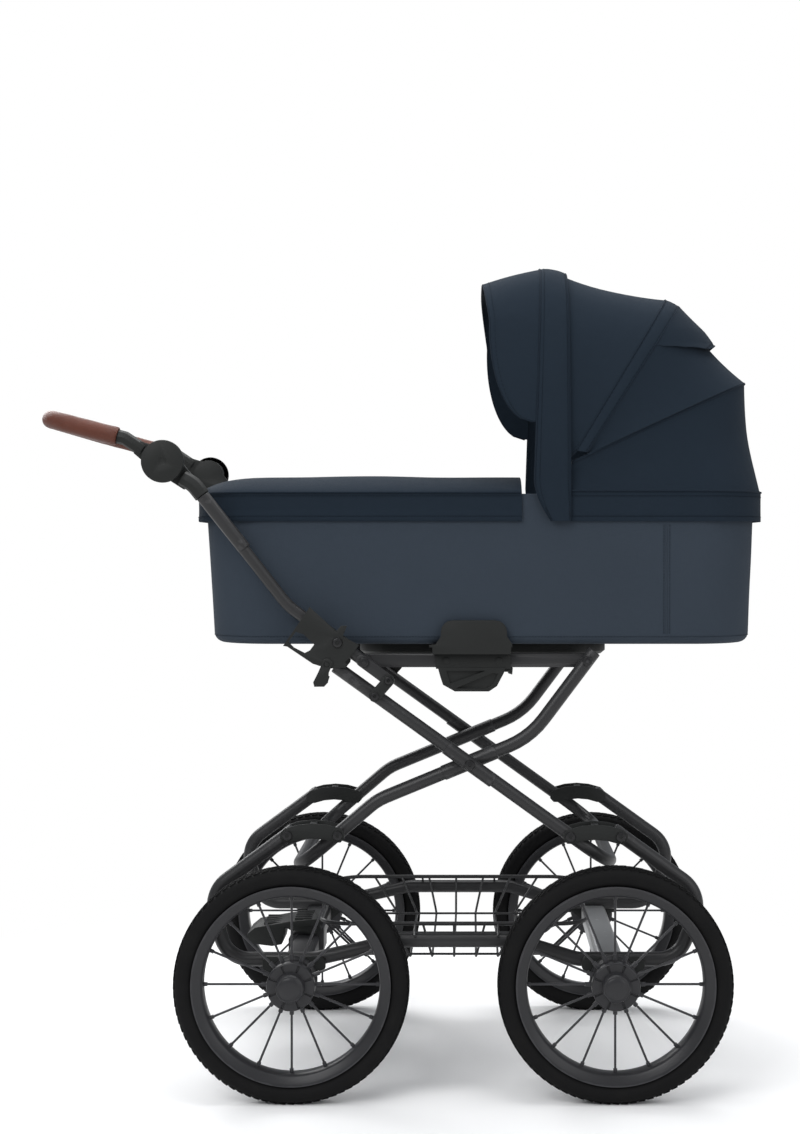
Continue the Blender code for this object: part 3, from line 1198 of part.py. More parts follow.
def make_hood_panels(pivot_front, pivot_mid, cloth):
    """The two stretched panels: one between the bows, and one from the rear bow back."""
    front = hood_strip("hood_panel_front", (PANEL_FRONT_FOOT, PANEL_FRONT_REAR_FOOT),
                       (PANEL_FRONT_CROWN, PANEL_FRONT_REAR_CROWN), HOOD_HALF, CLOTH_WALL, HOOD_SAG)
    finish(front, cloth, pivot_front)
    rear = hood_strip("hood_panel_rear", (PANEL_REAR_FOOT, PANEL_REAR_LOW_FOOT),
                      (PANEL_REAR_CROWN, PANEL_REAR_LOW_CROWN), HOOD_HALF, CLOTH_WALL, HOOD_SAG)
    finish(rear, cloth, pivot_mid)


def make_hood_bows(pivot_front, pivot_mid, cloth):
    """The broad front band, outside the panels, and the narrow bow between them."""
    band_strip = hood_strip("hood_front_band", (BAND_FOOT, BAND_REAR_FOOT), (BAND_CROWN, BAND_REAR_CROWN),
                            BAND_OUTER, BAND_WALL)
    holes = [rod(f"band_hole_{side}", HOOD_PIVOT, sign * (HOOD_HALF - 0.01), sign * (BAND_OUTER + 0.01),
                 HOOD_PIN_RADIUS + RUNNING) for side, sign in SIDES]
    finish(drill(band_strip, *holes), cloth, pivot_front)
    bow = hood_strip("hood_mid_bow", (BOW_FOOT, BOW_REAR_FOOT), (BOW_CROWN, BOW_REAR_CROWN),
                     HOOD_HALF, BAND_WALL)
    finish(bow, cloth, pivot_mid)


def make_visor(pivot, cloth):
    """The sun visor on the band's front edge: deep over the crown and run out down the sides."""
    foot = (BAND_FOOT[0] - GAP, BAND_FOOT[1])
    crown = (BAND_CROWN[0] - GAP, BAND_CROWN[1])
    options = {"count": 20, "start": VISOR_START}
    edge = arch(foot, crown, BAND_OUTER, **options)
    under = inner_arch(foot, crown, BAND_OUTER, BAND_WALL, **options)
    rings = []
    for outer, inner in zip(edge, under):
        fall = max(0.0, (VISOR_FULL_Z - outer.z) / (VISOR_FULL_Z - edge[0].z))
        depth = 0.005 + (VISOR_DEPTH - 0.005) * math.sqrt(max(0.0, 1.0 - fall * fall))
        top = max(0.0, (outer.z - VISOR_FULL_Z) / (crown[1] - VISOR_FULL_Z))
        reach = Vector((-depth - VISOR_PEAK * top, 0.0, -VISOR_DROP * top))
        rings.append([outer, outer + reach, inner + reach, inner])
    finish(loft("hood_visor", rings), cloth, pivot)


def make_hood_rear(pivot, cloth):
    """The fixed rear of the hood: a skirt round the tub's end, and the cloth up to the rear bow."""
    outside = TUB_HALF_TOP + GAP + CLOTH_WALL
    right = TUB_FRONT_TOP + GAP + CLOTH_WALL + SKIRT_FLARE
    corner = TUB_CORNER + CLOTH_WALL
    half = rounded([(HOOD_REAR_START, -outside, 0.0, 0.0), (right, -outside, 0.0, corner),
                    (right, 0.0, 0.0, 0.0)])
    start = [half[0].lerp(half[1], share) for share in (0.0, 0.35, 0.7)]
    near = start + half[1:-1] + [half[-2].lerp(half[-1], 0.5), half[-1]]
    edge = near + [Vector((point.x, -point.y, 0.0)) for point in reversed(near[:-1])]
    count = len(edge) - 1
    bow = arch(REAR_BOW_FOOT, REAR_BOW_CROWN, HOOD_HALF - CLOTH_WALL - BAND_CLEARANCE, count)
    rings = []
    for index, point in enumerate(edge):
        centre = Vector((min(point.x, TUB_FRONT_TOP - TUB_CORNER), 0.0, 0.0))
        inward = (centre - point)
        inward = Vector((inward.x, inward.y, 0.0)).normalized() * CLOTH_WALL
        low = Vector((point.x, point.y, SKIRT_LOW))
        rim = Vector((point.x, point.y, RIM_Z))
        top = bow[index]
        inner_top = top + Vector((inward.x * 0.5, inward.y, -CLOTH_WALL * 0.6))
        step = rim + inward * 1.15 + Vector((0.0, 0.0, 0.004))
        middle = step.lerp(top, 0.5) - inward.normalized() * HOOD_REAR_FULLNESS * abs(inward.normalized().x)
        shelf = Vector((point.x, point.y, TUB_TOP + GAP)) + inward
        rings.append([low, rim, step, middle, top, inner_top, middle + inward, step + inward,
                      shelf + inward * 0.15, shelf, low + inward])
    finish(loft("hood_rear", rings), cloth, pivot)


def build():
    """Clear the scene, then make every piece and hang it on its pivot."""
    for thing in list(bpy.data.objects):
        bpy.data.objects.remove(thing)
    for collection in (NODES, CUTTERS):
        bpy.context.scene.collection.children.link(collection)
    grip_reach = GRIP_RADIUS - GRIP_CORNER[0]
    hood_reach = TUB_FRONT_TOP + GAP + CLOTH_WALL + SKIRT_FLARE
    frame = link("pram_frame", None, CUTTERS)
    frame.location.x = (grip_reach - hood_reach) / 2.0

    paint = material("frame_paint", (0.026, 0.026, 0.028), 0.40, 0.2)
    moulded = material("moulded_black", (0.012, 0.013, 0.013), 0.55)
    cloth = material("hood_cloth", (0.016, 0.025, 0.040), 0.90)
    make_wheels(frame)
    make_side_tubes(frame, paint)
    make_hub_brackets(frame, moulded)
    make_axles(frame)
    make_brake_pedal(frame, moulded)
    make_basket(frame, paint)

    rear_links = pivot_at("rear_link_pivot", REAR_FOOT, frame)
    front_links = pivot_at("front_link_pivot", FRONT_KNEE, frame)
    make_links("rear", rear_links, REAR_FOOT, REAR_KNEE, (SIDE_TUBE_Y + FRAME_B_Y) / 2.0, True, moulded)
    make_links("front", front_links, FRONT_FOOT, FRONT_KNEE, (SIDE_TUBE_Y + FRAME_A_Y) / 2.0, False,
               moulded)
    make_frame_b(pivot_at("frame_b_pivot", REAR_KNEE, frame), paint)
    make_frame_a(pivot_at("frame_a_pivot", CROSSING, frame), paint)
    seat = pivot_at("seat_pivot", RAIL_FRONT, frame)
    make_seat_frame(seat, paint)
    make_adapters(seat, moulded, frame)
    push = pivot_at("push_pivot", RAIL_REAR, frame)
    make_push_tubes(push, paint)
    make_lock_brackets(push, moulded, frame)
    make_handle_joints(push, moulded)
    make_braces(pivot_at("brace_pivot", BRACE_TOP, frame), moulded)
    make_handle(pivot_at("handle_pivot", HANDLE_PIVOT, frame), moulded)

    carrycot = pivot_at("carrycot_lift", (TIE_X, TUB_LOW), frame)
    make_tub(carrycot)
    make_mattress(carrycot)
    make_cot_base(carrycot, moulded)
    make_apron(carrycot, cloth)
    make_hood_rear(carrycot, cloth)
    hood_front = pivot_at("hood_front_pivot", HOOD_PIVOT, frame)
    hood_mid = pivot_at("hood_mid_pivot", HOOD_PIVOT, frame)
    make_hood_bows(hood_front, hood_mid, cloth)
    make_hood_panels(hood_front, hood_mid, cloth)
    make_visor(hood_front, cloth)


build()
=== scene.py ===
"""A folding pram with a carrycot: the looks of every piece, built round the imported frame.

All pieces are drawn in metres from the middle of the wheelbase, and moved by SHIFT when finished.
"""
from __future__ import annotations

import logging
import math
from collections.abc import Iterable, Sequence
from dataclasses import dataclass, field
from enum import Enum

import bmesh
import bpy
from mathutils import Matrix, Vector, noise


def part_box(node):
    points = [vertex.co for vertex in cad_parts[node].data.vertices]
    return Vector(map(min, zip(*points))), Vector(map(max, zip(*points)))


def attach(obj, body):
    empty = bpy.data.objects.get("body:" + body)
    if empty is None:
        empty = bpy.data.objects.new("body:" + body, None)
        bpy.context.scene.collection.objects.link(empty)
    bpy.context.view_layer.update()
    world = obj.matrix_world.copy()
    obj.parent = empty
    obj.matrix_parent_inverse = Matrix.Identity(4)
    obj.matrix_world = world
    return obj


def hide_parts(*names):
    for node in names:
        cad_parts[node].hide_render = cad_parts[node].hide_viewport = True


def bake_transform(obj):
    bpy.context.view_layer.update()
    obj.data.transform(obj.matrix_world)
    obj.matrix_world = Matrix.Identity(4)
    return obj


Colour = tuple[float, float, float]
Pair = tuple[float, float]
Outline = list[Pair]
Row = list[Vector]
Place = tuple[Vector, Vector, Vector]

LOG = logging.getLogger("pram")
SIDES = (("near", -1.0), ("far", 1.0))
ENDS = (("rear", -1.0), ("front", 1.0))
GAP = 0.0003
HOOD_PIVOT = Vector((0.158, 0.0, 0.902))
HOOD_SINK = 0.0244
HOOD_MIDDLE = Vector((0.25, 0.0, 1.0))


class Slot(Enum):
    """The record's material slots."""

    TYRE = "tyre_rubber"
    WHEEL = "wheel_paint"
    FRAME = "frame_paint"
    SILVER = "axle_silver"
    DARK = "axle_dark"
    MOULDED = "moulded"
    LEATHER = "grip_leather"
    TUB = "tub_cloth"
    HOOD = "hood_cloth"
    COTTON = "mattress_cotton"


# Shader nodes written as Python expressions

class Value:
    """A shader socket that takes part in Python sums."""

    def __init__(self, graph: Graph, socket: bpy.types.NodeSocket) -> None:
        """Keep the socket and the graph that it belongs to."""
        self.graph = graph
        self.socket = socket

    def _sum(self, operation: str, first: object, second: object = 0.0) -> Value:
        """Add one Math node.

        Args:
            operation: The Math node's operation.
            first: Its first input.
            second: Its second input.

        Returns:
            The node's result.
        """
        return self.graph.add("ShaderNodeMath", {"operation": operation}, {0: first, 1: second})

    def __add__(self, other: object) -> Value:
        """Sum."""
        return self._sum("ADD", self, other)

    def __sub__(self, other: object) -> Value:
        """Difference."""
        return self._sum("SUBTRACT", self, other)

    def __rsub__(self, other: object) -> Value:
        """Difference from a number."""
        return self._sum("SUBTRACT", other, self)

    def __mul__(self, other: object) -> Value:
        """Product."""
        return self._sum("MULTIPLY", self, other)

    def __gt__(self, other: object) -> Value:
        """One where this is larger."""
        return self._sum("GREATER_THAN", self, other)

    def __pow__(self, other: object) -> Value:
        """Power."""
        return self._sum("POWER", self, other)

    def __abs__(self) -> Value:
        """Size without sign."""
        return self._sum("ABSOLUTE", self)

    def sine(self) -> Value:
        """Sine of the value in radians."""
        return self._sum("SINE", self)

    __radd__ = __add__


class Graph:
    """One material's nodes round its Principled shader."""

    def __init__(self, name: str) -> None:
        """Start a material.

        Args:
            name: The material's name.
        """
        self.material = bpy.data.materials.new(name)
        self.material.use_nodes = True
        self.tree = self.material.node_tree
        self.shader = self.tree.nodes["Principled BSDF"]

    def feed(self, socket: bpy.types.NodeSocket, value: object) -> None:
        """Link a value to a socket, or set the socket to a number.

        Args:
            socket: The input to feed.
            value: A Value, a number or a tuple.
        """
        if isinstance(value, Value):
            self.tree.links.new(value.socket, socket)
        else:
            socket.default_value = value

    def add(self, kind: str, settings: dict | None = None, inputs: dict | None = None,
            output: int | str = 0) -> Value:
        """Add any node.

        Args:
            kind: The node's type.
            settings: Properties set first.
            inputs: Values or links, by the input's name or number.
            output: The output to return.

        Returns:
            The chosen output.
        """
        node = self.tree.nodes.new(kind)
        for key, value in (settings or {}).items():
            setattr(node, key, value)
        for key, value in (inputs or {}).items():
            self.feed(node.inputs[key], value)
        return Value(self, node.outputs[output])

    def place(self, by_map: bool = False) -> Value:
        """The point in metres, from the object or from the piece's own map."""
        return self.add("ShaderNodeTexCoord", output="UV" if by_map else "Object")

    def axes(self, point: Value) -> tuple[Value, Value, Value]:
        """The three parts of a point."""
        split = self.add("ShaderNodeSeparateXYZ", inputs={0: point})
        outputs = split.socket.node.outputs
        return Value(self, outputs[0]), Value(self, outputs[1]), Value(self, outputs[2])

    def scaled(self, point: Value, scale: tuple[float, float, float]) -> Value:
        """A point stretched along its axes."""
        return self.add("ShaderNodeMapping", inputs={"Vector": point, "Scale": scale})

    def cloud(self, point: Value, scale: float, detail: float = 3.0) -> Value:
        """Soft noise from 0 to 1, with its scale per metre."""
        return self.add("ShaderNodeTexNoise", inputs={"Vector": point, "Scale": scale, "Detail": detail})

    def mix(self, share: object, first: tuple, second: tuple | Value) -> Value:
        """A colour between two others.

        Args:
            share: How much of the second colour.
            first: The first colour.
            second: The second colour.

        Returns:
            The mixed colour.
        """
        def four(colour: object) -> object:
            """A colour with its fourth part."""
            return colour if isinstance(colour, Value) else (*colour, 1.0)

        return self.add("ShaderNodeMix", {"data_type": "RGBA"},
                        {0: share, 6: four(first), 7: four(second)}, output=2)

    def raise_surface(self, height: Value, distance: float, strength: float = 1.0) -> None:
        """Feed a height map to the shader's normal.

        Args:
            height: The height from 0 to 1.
            distance: The real height in metres of a value of one.
            strength: The share of the effect.
        """
        bump = self.add("ShaderNodeBump", inputs={"Strength": strength, "Distance": distance,
                                                  "Height": height})
        self.feed(self.shader.inputs["Normal"], bump)

    def look(self, colour: object, roughness: object, **settings: float) -> None:
        """Feed the shader's colour and roughness, and set its constants.

        Args:
            colour: The base colour.
            roughness: The roughness.
            **settings: Other inputs, named with _ in place of spaces.
        """
        self.feed(self.shader.inputs["Base Color"], colour)
        self.feed(self.shader.inputs["Roughness"], roughness)
        for name, value in settings.items():
            self.shader.inputs[name.replace("_", " ")].default_value = value


def shade(colour: Colour, share: float) -> Colour:
    """A colour made darker or lighter by a share."""
    return tuple(min(1.0, part * share) for part in colour)


@dataclass(frozen=True)
class Finish:
    """What a piece is finished with.

    Attributes:
        name: The material's name.
        slot: The record's material slot; not used.
        colour: The base colour.
    """

    name: str
    slot: Slot
    colour: Colour

    def draw(self, graph: Graph) -> None:
        """Feed the shader, in each kind of finish by its own nodes."""
        raise NotImplementedError

    def make(self) -> bpy.types.Material:
        """Build the material."""
        graph = Graph(self.name)
        self.draw(graph)
        return graph.material


@dataclass(frozen=True)
class Paint(Finish):
    """Satin paint on metal: a fine orange peel, dull patches and paler worn edges."""

    roughness: float = 0.36
    metallic: float = 0.0
    peel_scale: float = 420.0
    peel_height: float = 0.00012
    flat_edge: float = 0.515
    worn_from: float = 0.22

    def draw(self, graph: Graph) -> None:
        """Feed the shader."""
        point = graph.place()
        peel = graph.cloud(point, self.peel_scale, 2.0)
        patch = graph.cloud(point, 16.0, 4.0)
        edge = graph.add("ShaderNodeNewGeometry", output="Pointiness")
        worn = ((edge - self.flat_edge) * 9.0 * graph.cloud(point, 90.0)) > self.worn_from
        tone = graph.mix(patch, shade(self.colour, 0.86), shade(self.colour, 1.14))
        graph.look(graph.mix(worn * 0.45, tone, shade(self.colour, 2.2)),
                   self.roughness - 0.06 + patch * 0.12, Metallic=self.metallic, Coat_Roughness=0.3,
                   Coat_Weight=0.05, Specular_IOR_Level=0.25)
        graph.raise_surface(peel, self.peel_height)


@dataclass(frozen=True)
class Moulding(Finish):
    """Black moulded plastic with a fine spark texture."""

    roughness: float = 0.50
    grain: float = 1500.0

    def draw(self, graph: Graph) -> None:
        """Feed the shader."""
        point = graph.place()
        spark = graph.cloud(point, self.grain, 4.0)
        patch = graph.cloud(point, 22.0, 3.0)
        graph.look(graph.mix(patch, shade(self.colour, 0.88), shade(self.colour, 1.16)),
                   self.roughness - 0.05 + spark * 0.08 + patch * 0.05, Specular_IOR_Level=0.22)
        graph.raise_surface(spark, 0.00010)


@dataclass(frozen=True)
class Rubber(Finish):
    """Tyre rubber: matt, a little dusty where it is low, with a pebbled skin."""

    dust: Colour = (0.016, 0.0155, 0.015)

    def draw(self, graph: Graph) -> None:
        """Feed the shader."""
        point = graph.place()
        skin = graph.cloud(point, 900.0, 4.0)
        patch = graph.cloud(point, 30.0, 5.0)
        graph.look(graph.mix(patch ** 3.0 * 0.8, self.colour, self.dust), 0.58 + patch * 0.2,
                   Specular_IOR_Level=0.06)
        graph.raise_surface(skin, 0.00015)


@dataclass(frozen=True)
class Cloth(Finish):
    """Woven cloth: a plain weave on the piece's own map, in two near tones, with painted shade between the
    threads, and soft creases.
    """

    heather: float = 0.22
    pitch: float = 0.0011
    crease: float = 0.0012
    roughness: float = 0.88
    sheen: float = 0.03

    def draw(self, graph: Graph) -> None:
        """Feed the shader."""
        spot = graph.place(by_map=True)
        across, along, _ = graph.axes(spot)
        warp = (across * (math.pi / self.pitch)).sine()
        weft = (along * (math.pi / self.pitch)).sine()
        over = (warp * weft) > 0.0
        thread = abs(warp) * over + abs(weft) * (1.0 - over)
        long_yarn = graph.cloud(graph.scaled(spot, (900.0, 60.0, 1.0)), 1.0, 2.0)
        cross_yarn = graph.cloud(graph.scaled(spot, (60.0, 900.0, 1.0)), 1.0, 2.0)
        yarn = long_yarn * over + cross_yarn * (1.0 - over)
        fade = graph.cloud(graph.place(), 5.0, 3.0)
        # painted shade: the thread term darkens the colour in the gaps between threads; yarn and fade are
        # random tone
        tone = (yarn - 0.5) * self.heather * 2.0 + 0.5 + (thread - 0.6) * 0.25 + (fade - 0.5) * 0.35
        graph.look(graph.mix(tone, shade(self.colour, 0.74), shade(self.colour, 1.26)),
                   self.roughness - 0.04 + yarn * 0.08, Sheen_Weight=self.sheen, Sheen_Roughness=0.4,
                   Specular_IOR_Level=0.06)
        soft = graph.cloud(graph.place(), 26.0, 4.0)
        deepest = 0.0012
        graph.raise_surface(thread * 0.1 + soft * (self.crease / deepest), deepest)


@dataclass(frozen=True)
class Leather(Finish):
    """Brown leather: pebbled grain with painted shade, darker in its creases, and paler where hands rub it.
    """

    def draw(self, graph: Graph) -> None:
        """Feed the shader."""
        point = graph.place()
        pebble = graph.add("ShaderNodeTexVoronoi", {"feature": "DISTANCE_TO_EDGE"},
                           {"Vector": point, "Scale": 520.0})
        grain = (pebble * 6.0) ** 0.5
        patch = graph.cloud(point, 28.0, 4.0)
        # painted shade: the grain term darkens the colour in the creases between pebbles; patch is random
        # tone
        tone = patch * 0.75 + grain * 0.22
        graph.look(graph.mix(tone, shade(self.colour, 0.58), shade(self.colour, 1.32)),
                   0.52 - patch * 0.14, Specular_IOR_Level=0.3)
        graph.raise_surface(grain + patch, 0.00022)


PAINT = Paint("charcoal_frame_paint", Slot.FRAME, (0.024, 0.024, 0.025))
WHEEL_PAINT = Paint("charcoal_wheel_paint", Slot.WHEEL, (0.022, 0.022, 0.024), 0.33)
SILVER = Paint("silver_axle_paint", Slot.SILVER, (0.24, 0.245, 0.25), 0.38, 0.35)
DARK = Paint("dark_axle_paint", Slot.DARK, (0.022, 0.022, 0.024), 0.42)
BOLT = Paint("black_bolt_steel", Slot.FRAME, (0.030, 0.030, 0.031), 0.30, 0.7)
MOULDED = Moulding("moulded_black", Slot.MOULDED, (0.0125, 0.0135, 0.0130))
TYRE = Rubber("tyre_black", Slot.TYRE, (0.0075, 0.0075, 0.0078))
HOOD_CLOTH = Cloth("navy_canvas", Slot.HOOD, (0.0130, 0.0200, 0.0295))
PIPING = Cloth("navy_piping", Slot.HOOD, (0.0105, 0.0165, 0.0250), pitch=0.0008)
THREAD = Cloth("navy_thread", Slot.HOOD, (0.0080, 0.0125, 0.0190), pitch=0.0004, crease=0.0)
TUB_CLOTH = Cloth("slate_canvas", Slot.TUB, (0.0340, 0.0440, 0.0580))
TUB_THREAD = Cloth("slate_thread", Slot.TUB, (0.0200, 0.0260, 0.0350), pitch=0.0004, crease=0.0)
COTTON = Cloth("white_cotton", Slot.COTTON, (0.70, 0.69, 0.66), heather=0.08, sheen=0.05)
LEATHER = Leather("brown_leather", Slot.LEATHER, (0.095, 0.025, 0.013))


# Shapes shared by many pieces

def arc(centre: Pair, radius: float, start: float, end: float, steps: int) -> Outline:
    """Points on an arc in the X-Z plane.

    Args:
        centre: The arc's centre.
        radius: Its radius.
        start: The first angle in degrees, from +X towards +Z.
        end: The last angle.
        steps: The number of steps.

    Returns:
        The points as (x, z).
    """
    angles = [math.radians(start + (end - start) * index / steps) for index in range(steps + 1)]
    return [(centre[0] + radius * math.cos(a), centre[1] + radius * math.sin(a)) for a in angles]


def rounded(corners: Sequence[tuple[float, float, float, float]], step: float = 6.0) -> Row:
    """A path through corners, each drawn as an arc.

    Args:
        corners: Each corner as x, y, z and the radius of its bend.
        step: The angle between points of an arc, in degrees.

    Returns:
        The path's points.
    """
    path: Row = []
    for place, corner in enumerate(corners):
        here = Vector(corner[:3])
        if corner[3] == 0.0:
            path.append(here)
            continue
        back = (Vector(corners[place - 1][:3]) - here).normalized()
        ahead = (Vector(corners[(place + 1) % len(corners)][:3]) - here).normalized()
        half = back.angle(ahead) / 2.0
        centre = here + (back + ahead).normalized() * (corner[3] / math.sin(half))
        reach = corner[3] / math.tan(half)
        first = here + back * reach - centre
        last = here + ahead * reach - centre
        sweep = first.angle(last)
        axis = first.cross(last).normalized()
        count = max(1, round(math.degrees(sweep) / step))
        for index in range(count + 1):
            path.append(centre + Matrix.Rotation(sweep * index / count, 3, axis) @ first)
    return path


def length_of(path: Row) -> float:
    """A path's length."""
    return sum((b - a).length for a, b in zip(path, path[1:]))


def spread(path: Row, pitch: float, cyclic: bool = False) -> Row:
    """The same path with points at an even pitch.

    Args:
        path: The path's points.
        pitch: The wanted distance between points.
        cyclic: Whether the path closes on itself.

    Returns:
        The new points.
    """
    line = path + [path[0]] if cyclic else path
    lengths = [(b - a).length for a, b in zip(line, line[1:])]
    count = max(2, round(sum(lengths) / pitch))
    points = []
    place = 0
    passed = 0.0
    for index in range(count + (0 if cyclic else 1)):
        target = sum(lengths) * index / count
        while place < len(lengths) - 1 and passed + lengths[place] < target:
            passed += lengths[place]
            place += 1
        share = min(1.0, (target - passed) / max(lengths[place], 1e-9))
        points.append(line[place].lerp(line[place + 1], share))
    return points


def link(name: str, mesh: bpy.types.Mesh) -> bpy.types.Object:
    """A new object in the scene."""
    made = bpy.data.objects.new(name, mesh)
    bpy.context.scene.collection.objects.link(made)
    return made


def from_shape(name: str, shape: bmesh.types.BMesh) -> bpy.types.Object:
    """A new object from a working mesh, which is freed."""
    mesh = bpy.data.meshes.new(name)
    shape.to_mesh(mesh)
    shape.free()
    return link(name, mesh)


def flat_mesh(source: bpy.types.Object) -> bpy.types.Object:
    """Apply an object's modifiers, so that its mesh is plain."""
    bpy.context.view_layer.update()
    graph = bpy.context.evaluated_depsgraph_get()
    mesh = bpy.data.meshes.new_from_object(source.evaluated_get(graph))
    source.modifiers.clear()
    source.data = mesh
    return source


def grid(name: str, rows: Sequence[Row], wrap: bool = False, caps: bool = False) -> bpy.types.Object:
    """A skin through rows of points, with a map in metres.

    Args:
        name: The object's name.
        rows: The rows, each with the same number of points.
        wrap: Whether each row closes on itself.
        caps: Whether the first and last rows are closed with a face.

    Returns:
        The object.
    """
    shape = bmesh.new()
    layer = shape.loops.layers.uv.new("UVMap")
    count = len(rows[0])
    verts = [[shape.verts.new(point) for point in row] for row in rows]
    along = [[0.0] for _ in rows]
    for place, row in enumerate(rows):
        for index in range(count if wrap else count - 1):
            along[place].append(along[place][-1] + (row[(index + 1) % count] - row[index]).length)
    across = [0.0]
    for first, second in zip(rows, rows[1:]):
        across.append(across[-1] + sum((b - a).length for a, b in zip(first, second)) / count)
    for place in range(len(rows) - 1):
        for index in range(count if wrap else count - 1):
            after = (index + 1) % count
            corners = ((place, index, index), (place, after, index + 1), (place + 1, after, index + 1),
                       (place + 1, index, index))
            ring = [verts[row][column] for row, column, _ in corners]
            if len({tuple(vert.co) for vert in ring}) < 3:
                continue
            face = shape.faces.new(ring)
            for loop, (row, _, column) in zip(face.loops, corners):
                loop[layer].uv = (along[row][column], across[row])
    if caps:
        shape.faces.new(verts[0])
        shape.faces.new(verts[-1])
    bmesh.ops.remove_doubles(shape, verts=shape.verts, dist=0.000002)
    bmesh.ops.recalc_face_normals(shape, faces=shape.faces)
    return from_shape(name, shape)


def thicken(body: bpy.types.Object, wall: float, centre: Vector) -> bpy.types.Object:
    """Give an open sheet its thickness, inwards from the side that faces away from a centre.

    Args:
        body: The sheet.
        wall: Its thickness.
        centre: A point on its inner side.

    Returns:
        The closed shell.
    """
    out = sum(face.normal.dot(face.center - centre) * face.area for face in body.data.polygons)
    if out < 0.0:
        body.data.flip_normals()
    skin = body.modifiers.new("wall", "SOLIDIFY")
    skin.thickness = wall
    skin.offset = -1.0
    skin.use_even_offset = False
    return flat_mesh(body)


def sweep(name: str, path: Row, radius: float | Sequence[float], sides: int = 20,
          cyclic: bool = False) -> bpy.types.Object:
    """A round bar along a path, with rounded ends where it is open.

    Args:
        name: The object's name.
        path: The path's points.
        radius: One radius, or one for each point.
        sides: The number of sides.
        cyclic: Whether the path closes on itself.

    Returns:
        The object.
    """
    radii = list(radius) if isinstance(radius, Sequence) else [radius] * len(path)
    rows = []
    count = len(path)
    side = None
    for index, point in enumerate(path):
        before = path[index - 1] if cyclic or index else point
        after = path[(index + 1) % count] if cyclic or index < count - 1 else point
        ahead = (after - before).normalized()
        if side is None:
            side = ahead.orthogonal().normalized()
        side = (side - ahead * side.dot(ahead)).normalized()
        up = ahead.cross(side)
        rows.append([point + (side * math.cos(math.tau * turn / sides)
                              + up * math.sin(math.tau * turn / sides)) * radii[index]
                     for turn in range(sides)])
    if cyclic:
        rows.append(rows[0])
        return grid(name, rows, wrap=True)
    for end, inner in ((0, 1), (-1, -2)):
        ahead = (path[end] - path[inner]).normalized()
        lip = min(0.0012, radii[end] * 0.4)
        ring = [path[end] + (point - path[end]) * (1.0 - lip / radii[end]) for point in rows[end]]
        rows[end] = [point - ahead * lip for point in rows[end]]
        rows = [ring] + rows if end == 0 else rows + [ring]
    return grid(name, rows, wrap=True, caps=True)


def turned(name: str, profile: Outline, sides: int = 96) -> bpy.types.Object:
    """A profile of (radius, height) turned about Z.

    Args:
        name: The object's name.
        profile: The profile's points; it closes on itself or on the axis.
        sides: The number of sides.

    Returns:
        The object.
    """
    rows = []
    for index in range(sides):
        angle = math.tau * index / sides
        rows.append([Vector((r * math.cos(angle), r * math.sin(angle), h)) for r, h in profile])
    rows.append(rows[0])
    return grid(name, rows, wrap=profile[0][0] > 0.0)


def plate(name: str, outline: Outline, y_from: float, y_to: float) -> bpy.types.Object:
    """A flat outline in the X-Z plane, extruded between two y values."""
    rows = [[Vector((x, y, z)) for x, z in outline] for y in (y_from, y_to)]
    return grid(name, rows, wrap=True, caps=True)


def oblong(x_from: float, x_to: float, half: float, z: float, bend: float) -> list[tuple]:
    """The corners of a rectangle seen from above, all with one bend."""
    return [(x_from, -half, z, bend), (x_to, -half, z, bend), (x_to, half, z, bend), (x_from, half, z, bend)]


def sideways(sign: float) -> Matrix:
    """The turn that points a shape's Z axis out of one side."""
    return Matrix.Rotation(-sign * math.pi / 2.0, 4, "X")


def both_sides(near: Row) -> Row:
    """A path over the near side, carried on by its mirror image over the far side."""
    return near + [Vector((point.x, -point.y, point.z)) for point in reversed(near[:-1])]


def bevelled(body: bpy.types.Object, width: float) -> bpy.types.Object:
    """Round an object's sharp edges."""
    edge = body.modifiers.new("edge", "BEVEL")
    edge.width = width
    edge.segments = 2
    edge.limit_method = "ANGLE"
    edge.angle_limit = math.radians(38.0)
    edge.use_clamp_overlap = True
    return flat_mesh(body)


def copied(node: str, name: str, width: float = 0.0006) -> bpy.types.Object:
    """A merged copy of a CAD node, with its flat faces rejoined and its edges rounded.

    Args:
        node: The CAD node.
        name: The copy's name.
        width: The width of the rounded edges.

    Returns:
        The copy, still in the frame's place.
    """
    shape = bmesh.new()
    shape.from_mesh(FRAME["nodes"][node].data)
    bmesh.ops.remove_doubles(shape, verts=shape.verts, dist=0.00002)
    bmesh.ops.dissolve_limit(shape, angle_limit=math.radians(1.5), verts=shape.verts, edges=shape.edges)
    bmesh.ops.translate(shape, vec=-SHIFT, verts=shape.verts)
    return bevelled(from_shape(name, shape), width)


def merged(name: str, *parts: bpy.types.Object) -> bpy.types.Object:
    """Several objects as one piece, with their maps kept."""
    shape = bmesh.new()
    for part in parts:
        shape.from_mesh(part.data)
        bpy.data.objects.remove(part)
    return from_shape(name, shape)


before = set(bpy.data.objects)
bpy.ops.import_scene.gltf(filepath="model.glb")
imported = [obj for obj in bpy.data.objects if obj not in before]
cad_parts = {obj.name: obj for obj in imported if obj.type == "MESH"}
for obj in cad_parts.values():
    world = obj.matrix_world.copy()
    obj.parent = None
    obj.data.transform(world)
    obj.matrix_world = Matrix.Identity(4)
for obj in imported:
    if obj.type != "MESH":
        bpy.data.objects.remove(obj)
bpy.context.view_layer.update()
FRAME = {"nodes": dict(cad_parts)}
HUB_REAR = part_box("hub_rear_near")
HUB_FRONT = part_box("hub_front_near")
SHIFT = Vector(((HUB_REAR[0].x + HUB_REAR[1].x + HUB_FRONT[0].x + HUB_FRONT[1].x) / 4.0, 0.0, 0.0))
LOOKS: dict[str, bpy.types.Material] = {}


def look(finish: Finish) -> bpy.types.Material:
    """A finish's material, made once."""
    if finish.name not in LOOKS:
        LOOKS[finish.name] = finish.make()
    return LOOKS[finish.name]


